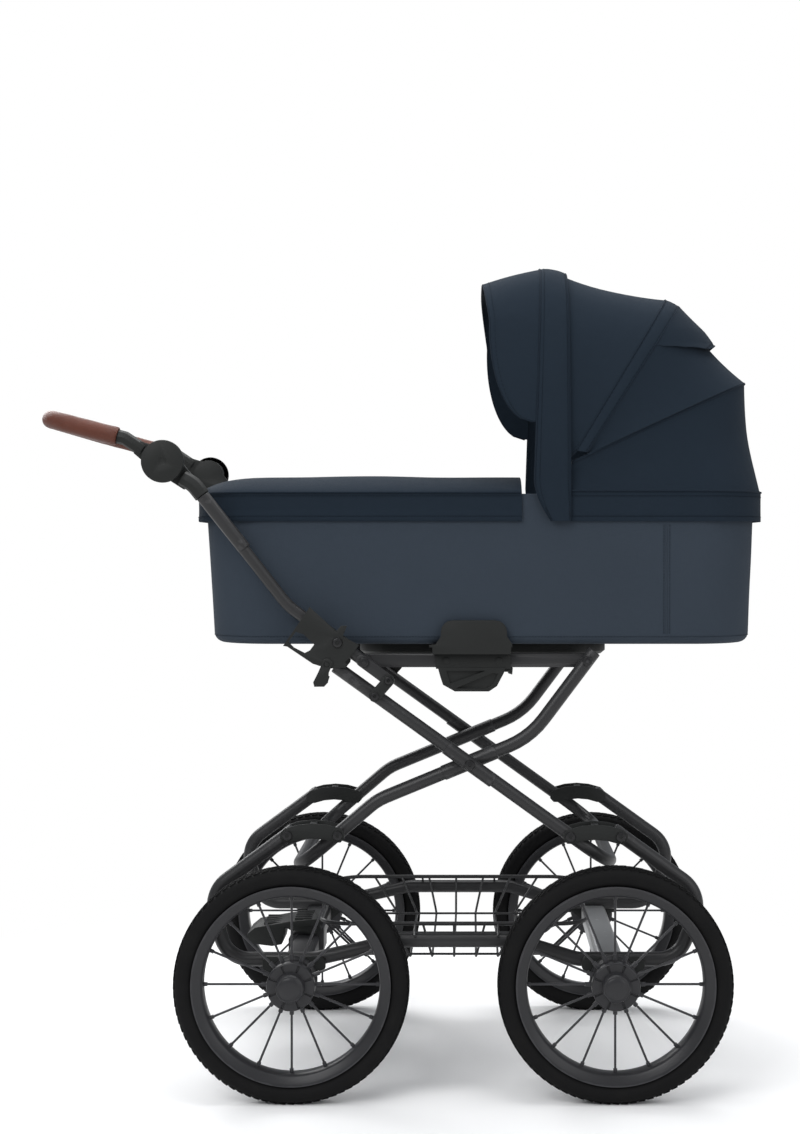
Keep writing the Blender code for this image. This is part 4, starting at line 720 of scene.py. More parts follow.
def dress(body: bpy.types.Object, finish: Finish, rides_on: str, *nodes: str,
          angle: float = 40.0) -> bpy.types.Object:
    """Finish a piece: its material, its shading, its place and what it stands for.

    Args:
        body: The piece, drawn from the middle of the wheelbase.
        finish: Its finish.
        rides_on: The body that it moves with, or nothing where it is stretched between bodies.
        *nodes: The CAD nodes that it replaces.
        angle: The angle in degrees above which an edge stays sharp.

    Returns:
        The piece.
    """
    body.data.transform(Matrix.Translation(SHIFT))
    body.data.materials.clear()
    body.data.materials.append(look(finish))
    body.data.shade_smooth()
    body.data.set_sharp_from_angle(angle=math.radians(angle))
    if nodes:
        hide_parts(*nodes)
    if rides_on:
        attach(body, rides_on)
    LOG.info("%s: %d faces", body.name, len(body.data.polygons))
    return body


# Repeated shapes, made with Geometry Nodes

class Shape(Enum):
    """The small shapes that a pattern repeats."""

    BAR = "GeometryNodeMeshCylinder"
    BLOCK = "GeometryNodeMeshCube"


@dataclass(frozen=True)
class Pattern:
    """A small bar or block laid at many places, along one direction and facing another."""

    name: str
    shape: Shape
    length: float
    width: float
    height: float
    sides: int = 6

    def tree(self, material: bpy.types.Material) -> tuple[bpy.types.NodeTree, dict[str, str]]:
        """Build the node tree.

        Args:
            material: What the copies are made of.

        Returns:
            The tree, and the identifier of each named size.
        """
        tree = bpy.data.node_groups.new(self.name, "GeometryNodeTree")
        face = tree.interface
        face.new_socket("Geometry", in_out="INPUT", socket_type="NodeSocketGeometry")
        names = {word: face.new_socket(word, in_out="INPUT", socket_type="NodeSocketFloat").identifier
                 for word in ("Length", "Width", "Height")}
        face.new_socket("Geometry", in_out="OUTPUT", socket_type="NodeSocketGeometry")
        add = tree.nodes.new
        join = tree.links.new
        given = add("NodeGroupInput")
        size = add("ShaderNodeCombineXYZ")
        form = add(self.shape.value)
        fit = add("GeometryNodeTransform")
        if self.shape is Shape.BAR:
            form.inputs["Vertices"].default_value = self.sides
            form.inputs["Radius"].default_value = 0.5
            form.inputs["Depth"].default_value = 1.0
            fit.inputs["Rotation"].default_value = (0.0, math.pi / 2.0, 0.0)
            order = ("Height", "Width", "Length")
        else:
            order = ("Length", "Width", "Height")
        for index, word in enumerate(order):
            join(given.outputs[word], size.inputs[index])
        join(form.outputs["Mesh"], fit.inputs["Geometry"])
        join(size.outputs[0], fit.inputs["Scale"])
        turn = add("FunctionNodeAxesToRotation")
        turn.primary_axis = "X"
        turn.secondary_axis = "Z"
        for word, socket in (("ahead", "Primary Axis"), ("out", "Secondary Axis")):
            way = add("GeometryNodeInputNamedAttribute")
            way.data_type = "FLOAT_VECTOR"
            way.inputs["Name"].default_value = word
            join(way.outputs["Attribute"], turn.inputs[socket])
        copies = add("GeometryNodeInstanceOnPoints")
        join(given.outputs["Geometry"], copies.inputs["Points"])
        join(fit.outputs["Geometry"], copies.inputs["Instance"])
        join(turn.outputs[0], copies.inputs["Rotation"])
        real = add("GeometryNodeRealizeInstances")
        join(copies.outputs["Instances"], real.inputs["Geometry"])
        paint = add("GeometryNodeSetMaterial")
        paint.inputs["Material"].default_value = material
        join(real.outputs["Geometry"], paint.inputs["Geometry"])
        result = add("NodeGroupOutput")
        join(paint.outputs["Geometry"], result.inputs[0])
        return tree, names

    def lay(self, name: str, places: Iterable[Place], finish: Finish) -> bpy.types.Object:
        """Repeat the shape over places.

        Args:
            name: The new object's name.
            places: Each place's point, its direction and the way that it faces.
            finish: The finish.

        Returns:
            The object, as a plain mesh.
        """
        places = list(places)
        mesh = bpy.data.meshes.new(name)
        mesh.from_pydata([point for point, _, _ in places], [], [])
        for column, word in ((1, "ahead"), (2, "out")):
            ways = mesh.attributes.new(word, "FLOAT_VECTOR", "POINT")
            for index, place in enumerate(places):
                ways.data[index].vector = place[column]
        body = link(name, mesh)
        tree, names = self.tree(look(finish))
        repeat = body.modifiers.new("repeat", "NODES")
        repeat.node_group = tree
        for word, size in (("Length", self.length), ("Width", self.width), ("Height", self.height)):
            repeat[names[word]] = size
        return flat_mesh(body)


STITCH = Pattern("stitch", Shape.BAR, 0.0034, 0.0009, 0.0007)


def stitches(path: Row, outs: Row, lift: float = 0.0002, pitch: float = 0.0050) -> list[Place]:
    """Places for stitches along a path.

    Args:
        path: The seam's points.
        outs: The way out of the cloth at each point.
        lift: How far the thread stands out.
        pitch: The distance between stitches.

    Returns:
        The stitches' places.
    """
    places = []
    for a, b, out in zip(path, path[1:], outs):
        count = max(1, round((b - a).length / pitch))
        for index in range(count):
            places.append((a.lerp(b, (index + 0.5) / count) + out * lift, (b - a).normalized(), out))
    return places


# Wheels

@dataclass
class Wheels:
    """Four spoked wheels: tyre, rim, grooved hub with spokes, and a plain cap."""

    wheelbase: float = 0.488
    track: float = 0.530
    radius: float = 0.178
    tread_height: float = 0.0009
    tyre_height: float = 0.0287
    tyre_width: float = 0.043
    rim_width: float = 0.037
    rim_depth: float = 0.0155
    hub_radius: float = 0.0365
    hub_waist: float = 0.0315
    hub_inboard: float = 0.030
    hub_outboard: float = 0.020
    hub_grooves: int = 8
    spokes: int = 16
    spoke_width: float = 0.0036
    cap_radius: float = 0.0215
    cap_height: float = 0.0135
    tread_rows: tuple[float, ...] = (-0.0118, -0.0060, 0.0, 0.0060, 0.0118)
    tread_count: int = 84

    def tyre(self) -> bpy.types.Object:
        """A plump tyre with rows of small tread blocks and a bead line by the rim."""
        seat = self.radius - self.tyre_height
        middle = seat + self.tyre_height * 0.50
        half = self.tyre_width / 2.0
        top = self.radius - self.tread_height
        profile = []
        for index in range(25):
            angle = math.radians(-118.0 + 236.0 * index / 24)
            reach = top - middle
            r = middle + math.copysign(abs(math.cos(angle)) ** 0.86, math.cos(angle)) * reach
            h = math.copysign(abs(math.sin(angle)) ** 0.80, math.sin(angle)) * half
            profile.append((max(r, seat), -h))
        profile += [(seat, -half * 0.62), (seat, half * 0.62)]
        tyre = turned("tyre_ring", profile, 160)
        blocks = []
        for row, height in enumerate(self.tread_rows):
            drop = 0.0030 * (abs(height) / half) ** 2.0
            for index in range(self.tread_count):
                angle = math.tau * (index + 0.5 * (row % 2)) / self.tread_count
                out = Vector((math.cos(angle), math.sin(angle), 0.0))
                point = out * (top - drop) + Vector((0.0, 0.0, height))
                blocks.append((point, Vector((-out.y, out.x, 0.25)).normalized(), out))
        tread = Pattern("tread", Shape.BLOCK, 0.0098, 0.0042, self.tread_height * 2.0)
        return merged("tyre", tyre, tread.lay("tread_blocks", blocks, TYRE))

    def rim(self) -> bpy.types.Object:
        """A rim of rounded box section with a small lip on each side."""
        outer = self.radius - self.tyre_height - GAP
        inner = outer - self.rim_depth
        half = self.rim_width / 2.0
        profile = [(outer + 0.0012, half + 0.0006), (outer + 0.0012, half - 0.0022), (outer, half - 0.0035),
                   (outer, 0.0035 - half), (outer + 0.0012, 0.0022 - half), (outer + 0.0012, -half - 0.0006),
                   (outer - 0.0022, -half - 0.0004), (outer - 0.0042, 0.0012 - half),
                   (inner + 0.0035, 0.0030 - half), (inner, 0.0070 - half), (inner - 0.0008, 0.0),
                   (inner, half - 0.0070), (inner + 0.0035, half - 0.0030), (outer - 0.0042, half - 0.0012),
                   (outer - 0.0022, half + 0.0004)]
        return turned("rim", profile, 160)

    def hub(self) -> bpy.types.Object:
        """A waisted drum with radial grooves in its face, and the spokes."""
        face = self.hub_outboard
        radius = self.hub_radius
        back = -self.hub_inboard
        profile = [(0.0, face), (0.0228, face), (0.0238, face), (0.0335, face), (radius - 0.0020, face),
                   (radius - 0.0006, face - 0.0008), (radius, face - 0.0024), (radius, face - 0.0108),
                   (radius - 0.0012, face - 0.0122), (self.hub_waist, face - 0.0145),
                   (self.hub_waist, back + 0.0080), (radius - 0.0010, back + 0.0055),
                   (radius, back + 0.0044), (radius, back), (0.0, back)]
        sides = 192
        rows = []
        for index in range(sides):
            angle = math.tau * index / sides
            phase = (angle * self.hub_grooves / math.tau) % 1.0
            sunk = 0.0022 if 0.42 < phase < 0.58 else 0.0
            rows.append([Vector((r * math.cos(angle), r * math.sin(angle),
                                 h - (sunk if place in (2, 3) else 0.0)))
                         for place, (r, h) in enumerate(profile)])
        rows.append(rows[0])
        drum = grid("hub_drum", rows)
        reach = self.radius - self.tyre_height - self.rim_depth
        spokes = []
        roots = []
        for index in range(self.spokes):
            angle = math.tau * index / self.spokes + math.pi / 2.0
            out = Vector((math.cos(angle), math.sin(angle), 0.0))
            spokes.append((out * (self.hub_waist + reach) / 2.0, out, Vector((0.0, 0.0, 1.0))))
            roots.append((out * (self.hub_waist + 0.006), out, Vector((0.0, 0.0, 1.0))))
        bar = Pattern("spoke", Shape.BAR, reach - self.hub_waist + 0.003, self.spoke_width,
                      self.spoke_width * 1.3, 12)
        root = Pattern("spoke_root", Shape.BAR, 0.016, self.spoke_width * 1.9, self.spoke_width * 2.0, 12)
        tips = Pattern("spoke_tip", Shape.BAR, 0.007, self.spoke_width * 1.7, self.spoke_width * 1.9, 12)
        ends = [(out * (reach - 0.003), out, up) for _, out, up in spokes]
        return merged("hub", drum, bar.lay("bars", spokes, WHEEL_PAINT),
                      root.lay("roots", roots, WHEEL_PAINT), tips.lay("tips", ends, WHEEL_PAINT))

    def cap(self) -> bpy.types.Object:
        """A bare domed cap with a shallow ring round its edge."""
        low = self.hub_outboard + GAP
        top = low + self.cap_height
        edge = self.cap_radius
        return turned("cap", [(0.0, top), (edge * 0.45, top - 0.0002), (edge * 0.74, top - 0.0009),
                              (edge * 0.78, top - 0.0017), (edge * 0.84, top - 0.0017),
                              (edge * 0.88, top - 0.0012), (edge * 0.97, top - 0.0026),
                              (edge, top - 0.0045), (edge, low + 0.001), (edge + 0.0006, low),
                              (0.0, low)], 96)

    def build(self) -> None:
        """Make one of each piece, and put four copies of it in place."""
        kinds = (("tyre", self.tyre(), TYRE, 30.0), ("rim", self.rim(), WHEEL_PAINT, 40.0),
                 ("hub", self.hub(), WHEEL_PAINT, 40.0), ("hub_cap", self.cap(), WHEEL_PAINT, 40.0))
        for kind, pattern, finish, angle in kinds:
            for end, end_sign in ENDS:
                for side, sign in SIDES:
                    body = link(f"{kind}_skin_{end}_{side}", pattern.data.copy())
                    spot = Vector((end_sign * self.wheelbase / 2.0, sign * self.track / 2.0, self.radius))
                    body.data.transform(Matrix.Translation(spot) @ sideways(sign))
                    dress(body, finish, f"wheel_{end}_{side}", f"{kind}_{end}_{side}", angle=angle)
            bpy.data.objects.remove(pattern)


# Small fasteners

@dataclass(frozen=True)
class Bolt:
    """A button-headed bolt with a round socket, along Y."""

    x: float
    z: float
    face: float
    sign: float
    radius: float = 0.0080
    height: float = 0.0036
    socket_depth: float = 0.0018
    sink: float = 0.0004

    def make(self) -> bpy.types.Object:
        """Turn the head and stand it on its face."""
        r, h = self.radius, self.height
        bottom = h - self.socket_depth
        head = turned("bolt", [(0.0, bottom), (r * 0.34, bottom), (r * 0.36, h), (r * 0.62, h - 0.0001),
                               (r * 0.84, h * 0.84), (r * 0.96, h * 0.52), (r, h * 0.20),
                               (r, -self.sink), (0.0, -self.sink)], 32)
        head.data.transform(Matrix.Translation((self.x, self.face, self.z)) @ sideways(self.sign))
        return head


def fasten(body: str, bolts: Sequence[Bolt]) -> None:
    """Put a body's bolts in place as one piece."""
    heads = merged(f"bolts_{body}", *[bolt.make() for bolt in bolts])
    dress(heads, BOLT, body, angle=35.0)


# Chassis

def smooth_copies(body: str, finish: Finish, nodes: Sequence[str], width: float = 0.0007) -> None:
    """Replace CAD nodes of one body with copies that have rounded edges.

    Args:
        body: The body that they move with.
        finish: Their finish.
        nodes: The CAD nodes.
        width: The width of the rounded edges.
    """
    for node in nodes:
        dress(copied(node, f"{node}_skin", width), finish, body, node)


def sided(pattern: str) -> list[str]:
    """A node's name on both sides."""
    return [f"{pattern}_{side}" for side, _ in SIDES]


@dataclass
class Undercarriage:
    """The bent side tubes, the axles with their saddles and brake, and the wire basket."""

    axle: float = 0.244
    tube_y: float = 0.2125
    tube_radius: float = 0.011
    tube_z: float = 0.2035
    crest: float = 0.2326
    tip: Pair = (0.2455, 0.4025)
    basket_top: tuple[float, float, float] = (0.209, 0.192, 0.2535)
    basket_floor: tuple[float, float, float] = (0.137, 0.165, 0.195)
    basket_corner: float = 0.045
    rim_wire: float = 0.0032
    wire: float = 0.0019
    hoops: int = 9
    hoop_pitch: float = 0.0482
    hooks: tuple[float, ...] = (-0.060, 0.068)

    def side_tube(self, y: float) -> bpy.types.Object:
        """One tube, from foot to foot round both axles."""
        rear = [(-self.tip[0], y, self.tip[1], 0.0), (-self.axle - 0.132, y, 0.306, 0.050),
                (-self.axle - 0.1054, y, self.tube_z, 0.045), (0.029 - self.axle, y, self.tube_z, 0.060),
                (-0.085, y, self.crest, 0.060)]
        front = [(0.095, y, self.crest, 0.060), (self.axle - 0.054, y, self.tube_z, 0.060),
                 (self.axle + 0.101, y, self.tube_z, 0.045), (self.axle + 0.140, y, 0.303, 0.050),
                 (self.tip[0], y, self.tip[1], 0.0)]
        return sweep("side_tube", rounded(rear + front), self.tube_radius, 28)

    def basket(self) -> bpy.types.Object:
        """The rim, the hoops with rounded bends, three long wires and the hooks."""
        top_x, top_y, top_z = self.basket_top
        low_x, low_y, low_z = self.basket_floor
        rim = rounded(oblong(-top_x, top_x, top_y, top_z, self.basket_corner), 9.0)
        lines = []
        middle = (self.hoops - 1) / 2.0
        for index in range(self.hoops):
            share = (index - middle) / middle
            x = (index - middle) * self.hoop_pitch
            side = top_y - (0.010 if abs(share) > 0.99 else 0.0)
            lines.append([(x, -side, top_z, 0.0), (share * low_x, -low_y, low_z, 0.016),
                          (share * low_x, low_y, low_z, 0.016), (x, side, top_z, 0.0)])
        for y in (0.014 - low_y, 0.0, low_y - 0.014):
            end = low_x + 0.012
            lines.append([(-top_x, y, top_z, 0.0), (-end, y, low_z + self.wire, 0.016),
                          (end, y, low_z + self.wire, 0.016), (top_x, y, top_z, 0.0)])
        rest = self.crest + self.tube_radius + GAP + self.wire
        for x in self.hooks:
            for _, sign in SIDES:
                out = self.tube_y + self.tube_radius + 0.003
                lines.append([(x, sign * top_y, top_z, 0.0), (x, sign * self.tube_y, rest, 0.006),
                              (x, sign * out, rest - 0.004, 0.0)])
        wires = [sweep("wire", rounded(line, 12.0), self.wire, 10) for line in lines]
        return merged("basket_skin", sweep("rim", rim, self.rim_wire, 14, cyclic=True), *wires)

    def build(self) -> None:
        """Make every piece of the undercarriage."""
        body = "undercarriage"
        for side, sign in SIDES:
            tube = self.side_tube(sign * self.tube_y)
            tube.name = f"side_tube_skin_{side}"
            dress(tube, PAINT, body, f"side_tube_{side}")
        smooth_copies(body, SILVER, ["axle_front"], 0.0012)
        smooth_copies(body, DARK, ["axle_rear"], 0.0012)
        smooth_copies(body, MOULDED, sided("hub_bracket_rear") + sided("hub_bracket_front"), 0.0014)
        smooth_copies("brake", MOULDED, ["brake_pedal"], 0.0010)
        dress(self.basket(), PAINT, body, "basket")


@dataclass
class FoldingFrame:
    """The two crossing tubes with their sleeves, the links, the seat rails and the carrycot's adapters."""

    outer_y: float = 0.2245
    outer_radius: float = 0.010
    inner_y: float = 0.201
    inner_radius: float = 0.0105
    sleeve_wall: float = 0.0012
    sleeve_half: float = 0.045
    crossing: Pair = (0.0246, 0.505)
    rear_foot: Pair = (-0.255, 0.3955)
    front_foot: Pair = (0.255, 0.3955)
    link: float = 0.077
    rail_front: Pair = (0.206, 0.6615)
    rail_rear: Pair = (-0.1366, 0.6615)
    outer_top: Pair = (-0.182, 0.655)
    outer_corner: Pair = (0.244, 0.3487)
    inner_line: tuple[tuple[float, float, float], ...] = (
        (0.2176, 0.6766, 0.0), (0.1176, 0.5435, 0.130), (-0.1185, 0.4463, 0.090), (-0.243, 0.340, 0.060))
    rear_face: float = 0.2270
    front_face: float = 0.23875
    cross_face: float = 0.2357
    rail_front_face: float = 0.2118
    rail_rear_face: float = 0.2381

    def sleeve(self, start: Pair, end: Pair, y: float, radius: float) -> bpy.types.Object:
        """A short thicker tube over the crossing, in line with two points of its bar."""
        ahead = Vector((end[0] - start[0], 0.0, end[1] - start[1])).normalized() * self.sleeve_half
        centre = Vector((self.crossing[0], y, self.crossing[1]))
        return sweep("sleeve", [centre - ahead, centre, centre + ahead], radius + self.sleeve_wall, 28)

    def outer(self) -> bpy.types.Object:
        """The outer tube: down both sides and across the front."""
        y = self.outer_y
        corner = self.outer_corner
        path = rounded([(self.outer_top[0], -y, self.outer_top[1], 0.0), (corner[0], -y, corner[1], 0.060),
                        (corner[0], y, corner[1], 0.060), (self.outer_top[0], y, self.outer_top[1], 0.0)])
        sleeves = [self.sleeve(self.outer_top, corner, sign * y, self.outer_radius) for _, sign in SIDES]
        return merged("frame_a_skin", sweep("bar", path, self.outer_radius, 28), *sleeves)

    def inner(self) -> bpy.types.Object:
        """The inner tube: bent twice on each side and across the rear."""
        near = [(x, -self.inner_y, z, bend) for x, z, bend in self.inner_line]
        far = [(x, -y, z, bend) for x, y, z, bend in reversed(near)]
        start, end = self.inner_line[2][:2], self.inner_line[1][:2]
        sleeves = [self.sleeve(start, end, sign * self.inner_y, self.inner_radius) for _, sign in SIDES]
        return merged("frame_b_skin", sweep("bar", rounded(near + far), self.inner_radius, 28), *sleeves)

    def build(self) -> None:
        """Make every piece of the folding frame."""
        dress(self.outer(), PAINT, "frame_a", "frame_a")
        dress(self.inner(), PAINT, "frame_b", "frame_b")
        smooth_copies("rear_links", MOULDED, sided("link_rear"), 0.0010)
        smooth_copies("front_links", MOULDED, sided("link_front"), 0.0010)
        smooth_copies("seat", PAINT, ["seat_frame"], 0.0010)
        smooth_copies("seat", MOULDED, sided("adapter"), 0.0010)
        for side, _ in SIDES:
            smooth_copies(f"tab_{side}", MOULDED, [f"release_tab_{side}"], 0.0006)
        knees = ((self.rear_foot[0] + self.link, self.rear_foot[1]),
                 (self.front_foot[0] - self.link, self.front_foot[1]))
        rear, front, cross, rails = [], [], [], []
        for _, sign in SIDES:
            rear += [Bolt(x, z, sign * self.rear_face, sign) for x, z in (self.rear_foot, knees[0])]
            front += [Bolt(x, z, sign * self.front_face, sign) for x, z in (self.front_foot, knees[1])]
            cross.append(Bolt(*self.crossing, sign * self.cross_face, sign))
            rails += [Bolt(*self.rail_front, sign * self.rail_front_face, sign),
                      Bolt(*self.rail_rear, sign * self.rail_rear_face, sign)]
        fasten("rear_links", rear)
        fasten("front_links", front)
        fasten("frame_a", cross)
        fasten("seat", rails)


@dataclass
class PushFrame:
    """The push tubes with their locks and braces, and the handle on its two joints."""

    tube_y: float = 0.2245
    radius: float = 0.009
    sleeve_radius: float = 0.0105
    rail: Pair = (-0.1366, 0.6615)
    brace_top: Pair = (-0.0992, 0.634)
    brace_foot: Pair = (-0.120, 0.610)
    straight: float = 0.1464
    below: float = 0.024
    bend: float = 0.100
    sleeve_start: Pair = (-0.320, 0.8344)
    top: Pair = (-0.385, 0.916)
    strap_outer: float = 0.2378
    lock_bolt: Pair = (-0.17729, 0.69142)
    pivot: Pair = (-0.4435, 0.968)
    cover_radius: float = 0.0326
    cover_low: float = 0.2383
    cover_high: float = 0.2450
    arm_y: float = 0.231
    arm_end: Pair = (-0.5135, 1.0065)
    grip_corner: Pair = (-0.627, 1.0360)
    grip_bend: float = 0.055
    grip_radius: float = 0.0142
    seam_pitch: float = 0.0062
    brace_face: float = 0.2411
    brace_bolt: float = 0.0068
    lock_face: float = 0.2380
    lock_head: Pair = (0.0082, 0.0040)

    def slope(self) -> Vector:
        """The way down along the straight part of a tube, as x and z."""
        return Vector((self.brace_top[0] - self.rail[0], self.brace_top[1] - self.rail[1])).normalized()

    def tube(self, sign: float) -> bpy.types.Object:
        """One push tube, with its sleeve and the strap round its foot."""
        y = sign * self.tube_y
        way = self.slope()
        foot = Vector(self.rail) + way * self.below
        knee = Vector(self.rail) - way * self.straight
        path = rounded([(foot.x, y, foot.y, 0.0), (knee.x, y, knee.y, self.bend),
                        (self.top[0], y, self.top[1], 0.0)], 3.0)
        sleeve = [Vector((self.sleeve_start[0], y, self.sleeve_start[1])), path[-1]]
        sleeve.insert(1, sleeve[0].lerp(sleeve[1], 0.5))
        lean = math.degrees(math.atan2(way.y, way.x))
        start = Vector(self.rail) - way * 0.004
        outline = arc(self.brace_top, self.radius, lean - 90.0, lean + 90.0, 14)
        outline += arc((start.x, start.y), self.radius, lean + 90.0, lean + 270.0, 14)
        strap = plate("strap", outline, sign * (self.tube_y + self.radius - 0.0012), sign * self.strap_outer)
        return merged("push_tube", sweep("bar", path, self.radius, 28),
                      sweep("sleeve", sleeve, self.sleeve_radius, 28), bevelled(strap, 0.0008))

    def cover(self, sign: float) -> bpy.types.Object:
        """The round cover outside a handle joint, with its sunk screw."""
        low, high = self.cover_low, self.cover_high
        edge = self.cover_radius
        disc = turned("cover", [(0.0, high - 0.0016), (0.0052, high - 0.0016), (0.0060, high - 0.0002),
                                (0.0068, high), (edge * 0.70, high - 0.0001), (edge * 0.74, high - 0.0007),
                                (edge * 0.78, high - 0.0001), (edge - 0.0020, high - 0.0003),
                                (edge - 0.0005, high - 0.0012), (edge, high - 0.0026), (edge, low),
                                (0.0, low)], 96)
        disc.data.transform(Matrix.Translation((self.pivot[0], 0.0, self.pivot[1])) @ sideways(sign))
        return disc

    def grip_path(self) -> Row:
        """The grip's centre line, from arm to arm."""
        near = [(*self.arm_end, 0.0), (*self.grip_corner, self.grip_bend)]
        path = [(x, -self.arm_y, z, bend) for x, z, bend in near]
        path += [(x, self.arm_y, z, bend) for x, z, bend in reversed(near)]
        return spread(rounded(path, 4.0), 0.004)

    def grip(self) -> None:
        """The leather grip: stitched along its inner side, with a rolled end at each arm."""
        path = self.grip_path()
        count = len(path)
        radii = []
        for index in range(count):
            end = min(index, count - 1 - index) * 0.004
            roll = 0.0006 * math.exp(-((end - 0.006) / 0.0028) ** 2)
            radii.append(self.grip_radius - 0.0004 + roll + 0.00012 * math.sin(index * 0.7))
        body = sweep("grip_skin", path, radii, 40)
        ways = []
        centre = Vector((self.arm_end[0] + 0.02, 0.0, self.arm_end[1] - 0.06))
        for index, point in enumerate(path):
            ahead = (path[min(index + 1, count - 1)] - path[max(index - 1, 0)]).normalized()
            inward = centre - point
            ways.append((inward - ahead * inward.dot(ahead)).normalized())
        seam = [point + way * (self.grip_radius - 0.0003) for point, way in zip(path, ways)]
        thread = Pattern("grip_stitch", Shape.BAR, 0.0044, 0.0012, 0.0010)
        dress(body, LEATHER, "handle", "grip")
        places = stitches(seam, ways, 0.0004, self.seam_pitch)
        dress(thread.lay("grip_stitches", places, LEATHER), LEATHER, "handle")

    def build(self) -> None:
        """Make every piece above the seat rails."""
        braces = []
        locks = []
        for side, sign in SIDES:
            tube = self.tube(sign)
            tube.name = f"push_tube_skin_{side}"
            dress(tube, PAINT, "push_frame", f"push_tube_{side}")
            joint = merged(f"handle_joint_skin_{side}", copied(f"handle_joint_{side}", "joint", 0.0010),
                           self.cover(sign))
            dress(joint, MOULDED, "push_frame", f"handle_joint_{side}")
            smooth_copies(f"lever_{side}", MOULDED, [f"lock_lever_{side}"], 0.0008)
            braces += [Bolt(x, z, sign * self.brace_face, sign, self.brace_bolt)
                       for x, z in (self.brace_top, self.brace_foot)]
            locks.append(Bolt(*self.lock_bolt, sign * self.lock_face, sign, *self.lock_head))
        smooth_copies("push_frame", MOULDED, sided("lock_bracket"), 0.0010)
        smooth_copies("handle", MOULDED, sided("handle_arm"), 0.0010)
        smooth_copies("braces", MOULDED, sided("brace"), 0.0006)
        fasten("braces", braces)
        fasten("push_frame", locks)
        self.grip()


# Sheets of cloth

def evenly(path: Row, count: int, cyclic: bool = False) -> Row:
    """The same path cut into a number of equal steps."""
    line = path + [path[0]] if cyclic else path
    return spread(path, length_of(line) / count, cyclic)


def outward(row: Row, across: Vector, inside: Vector) -> Row:
    """The way out of the cloth at each point of a row.

    Args:
        row: The row's points.
        across: The way from this row to the next one.
        inside: A point on the cloth's inner side.

    Returns:
        A unit vector for each point.
    """
    ways = []
    for index, point in enumerate(row):
        ahead = row[min(index + 1, len(row) - 1)] - row[max(index - 1, 0)]
        way = ahead.cross(across).normalized()
        ways.append(way if way.dot(point - inside) > 0.0 else -way)
    return ways


def cloth(name: str, rows: Sequence[Row], wall: float, inside: Vector, finish: Finish, rides_on: str,
          *nodes: str, rests_on: Sequence[str] = ()) -> bpy.types.Object:
    """A stretched sheet through rows, with its thickness and its finish.

    Args:
        name: The piece's name.
        rows: The outer side's rows.
        wall: The cloth's thickness.
        inside: A point on its inner side.
        finish: The finish.
        rides_on: The body that it moves with.
        *nodes: The CAD nodes that it replaces.
        rests_on: What it lies on; not used.

    Returns:
        The piece.
    """
    width = max(length_of([row[index] for row in rows]) for index in range(len(rows[0])))
    area = 0.0
    for first, second in zip(rows, rows[1:]):
        for a, b, c, d in zip(first, first[1:], second[1:], second):
            area += ((b - a).cross(c - a).length + (c - a).cross(d - a).length) / 2.0
    body = thicken(grid(name, rows), wall, inside)
    dress(body, finish, rides_on, *nodes, angle=60.0)
    flat = (width, max(length_of(row) for row in rows))
    return body


def welt(name: str, row: Row, radius: float, finish: Finish, rides_on: str,
         cyclic: bool = False) -> bpy.types.Object:
    """A corded edge along a row."""
    return dress(sweep(name, row, radius, 12, cyclic), finish, rides_on, angle=80.0)


def sew(name: str, seams: Sequence[tuple[Row, Row]], finish: Finish, rides_on: str) -> bpy.types.Object:
    """Rows of stitches, as one piece.

    Args:
        name: The piece's name.
        seams: Each seam's points and the ways out of the cloth there.
        finish: The thread's finish.
        rides_on: The body that it moves with.

    Returns:
        The piece.
    """
    places = [place for row, ways in seams for place in stitches(row, ways)]
    return dress(STITCH.lay(name, places, finish), finish, rides_on)


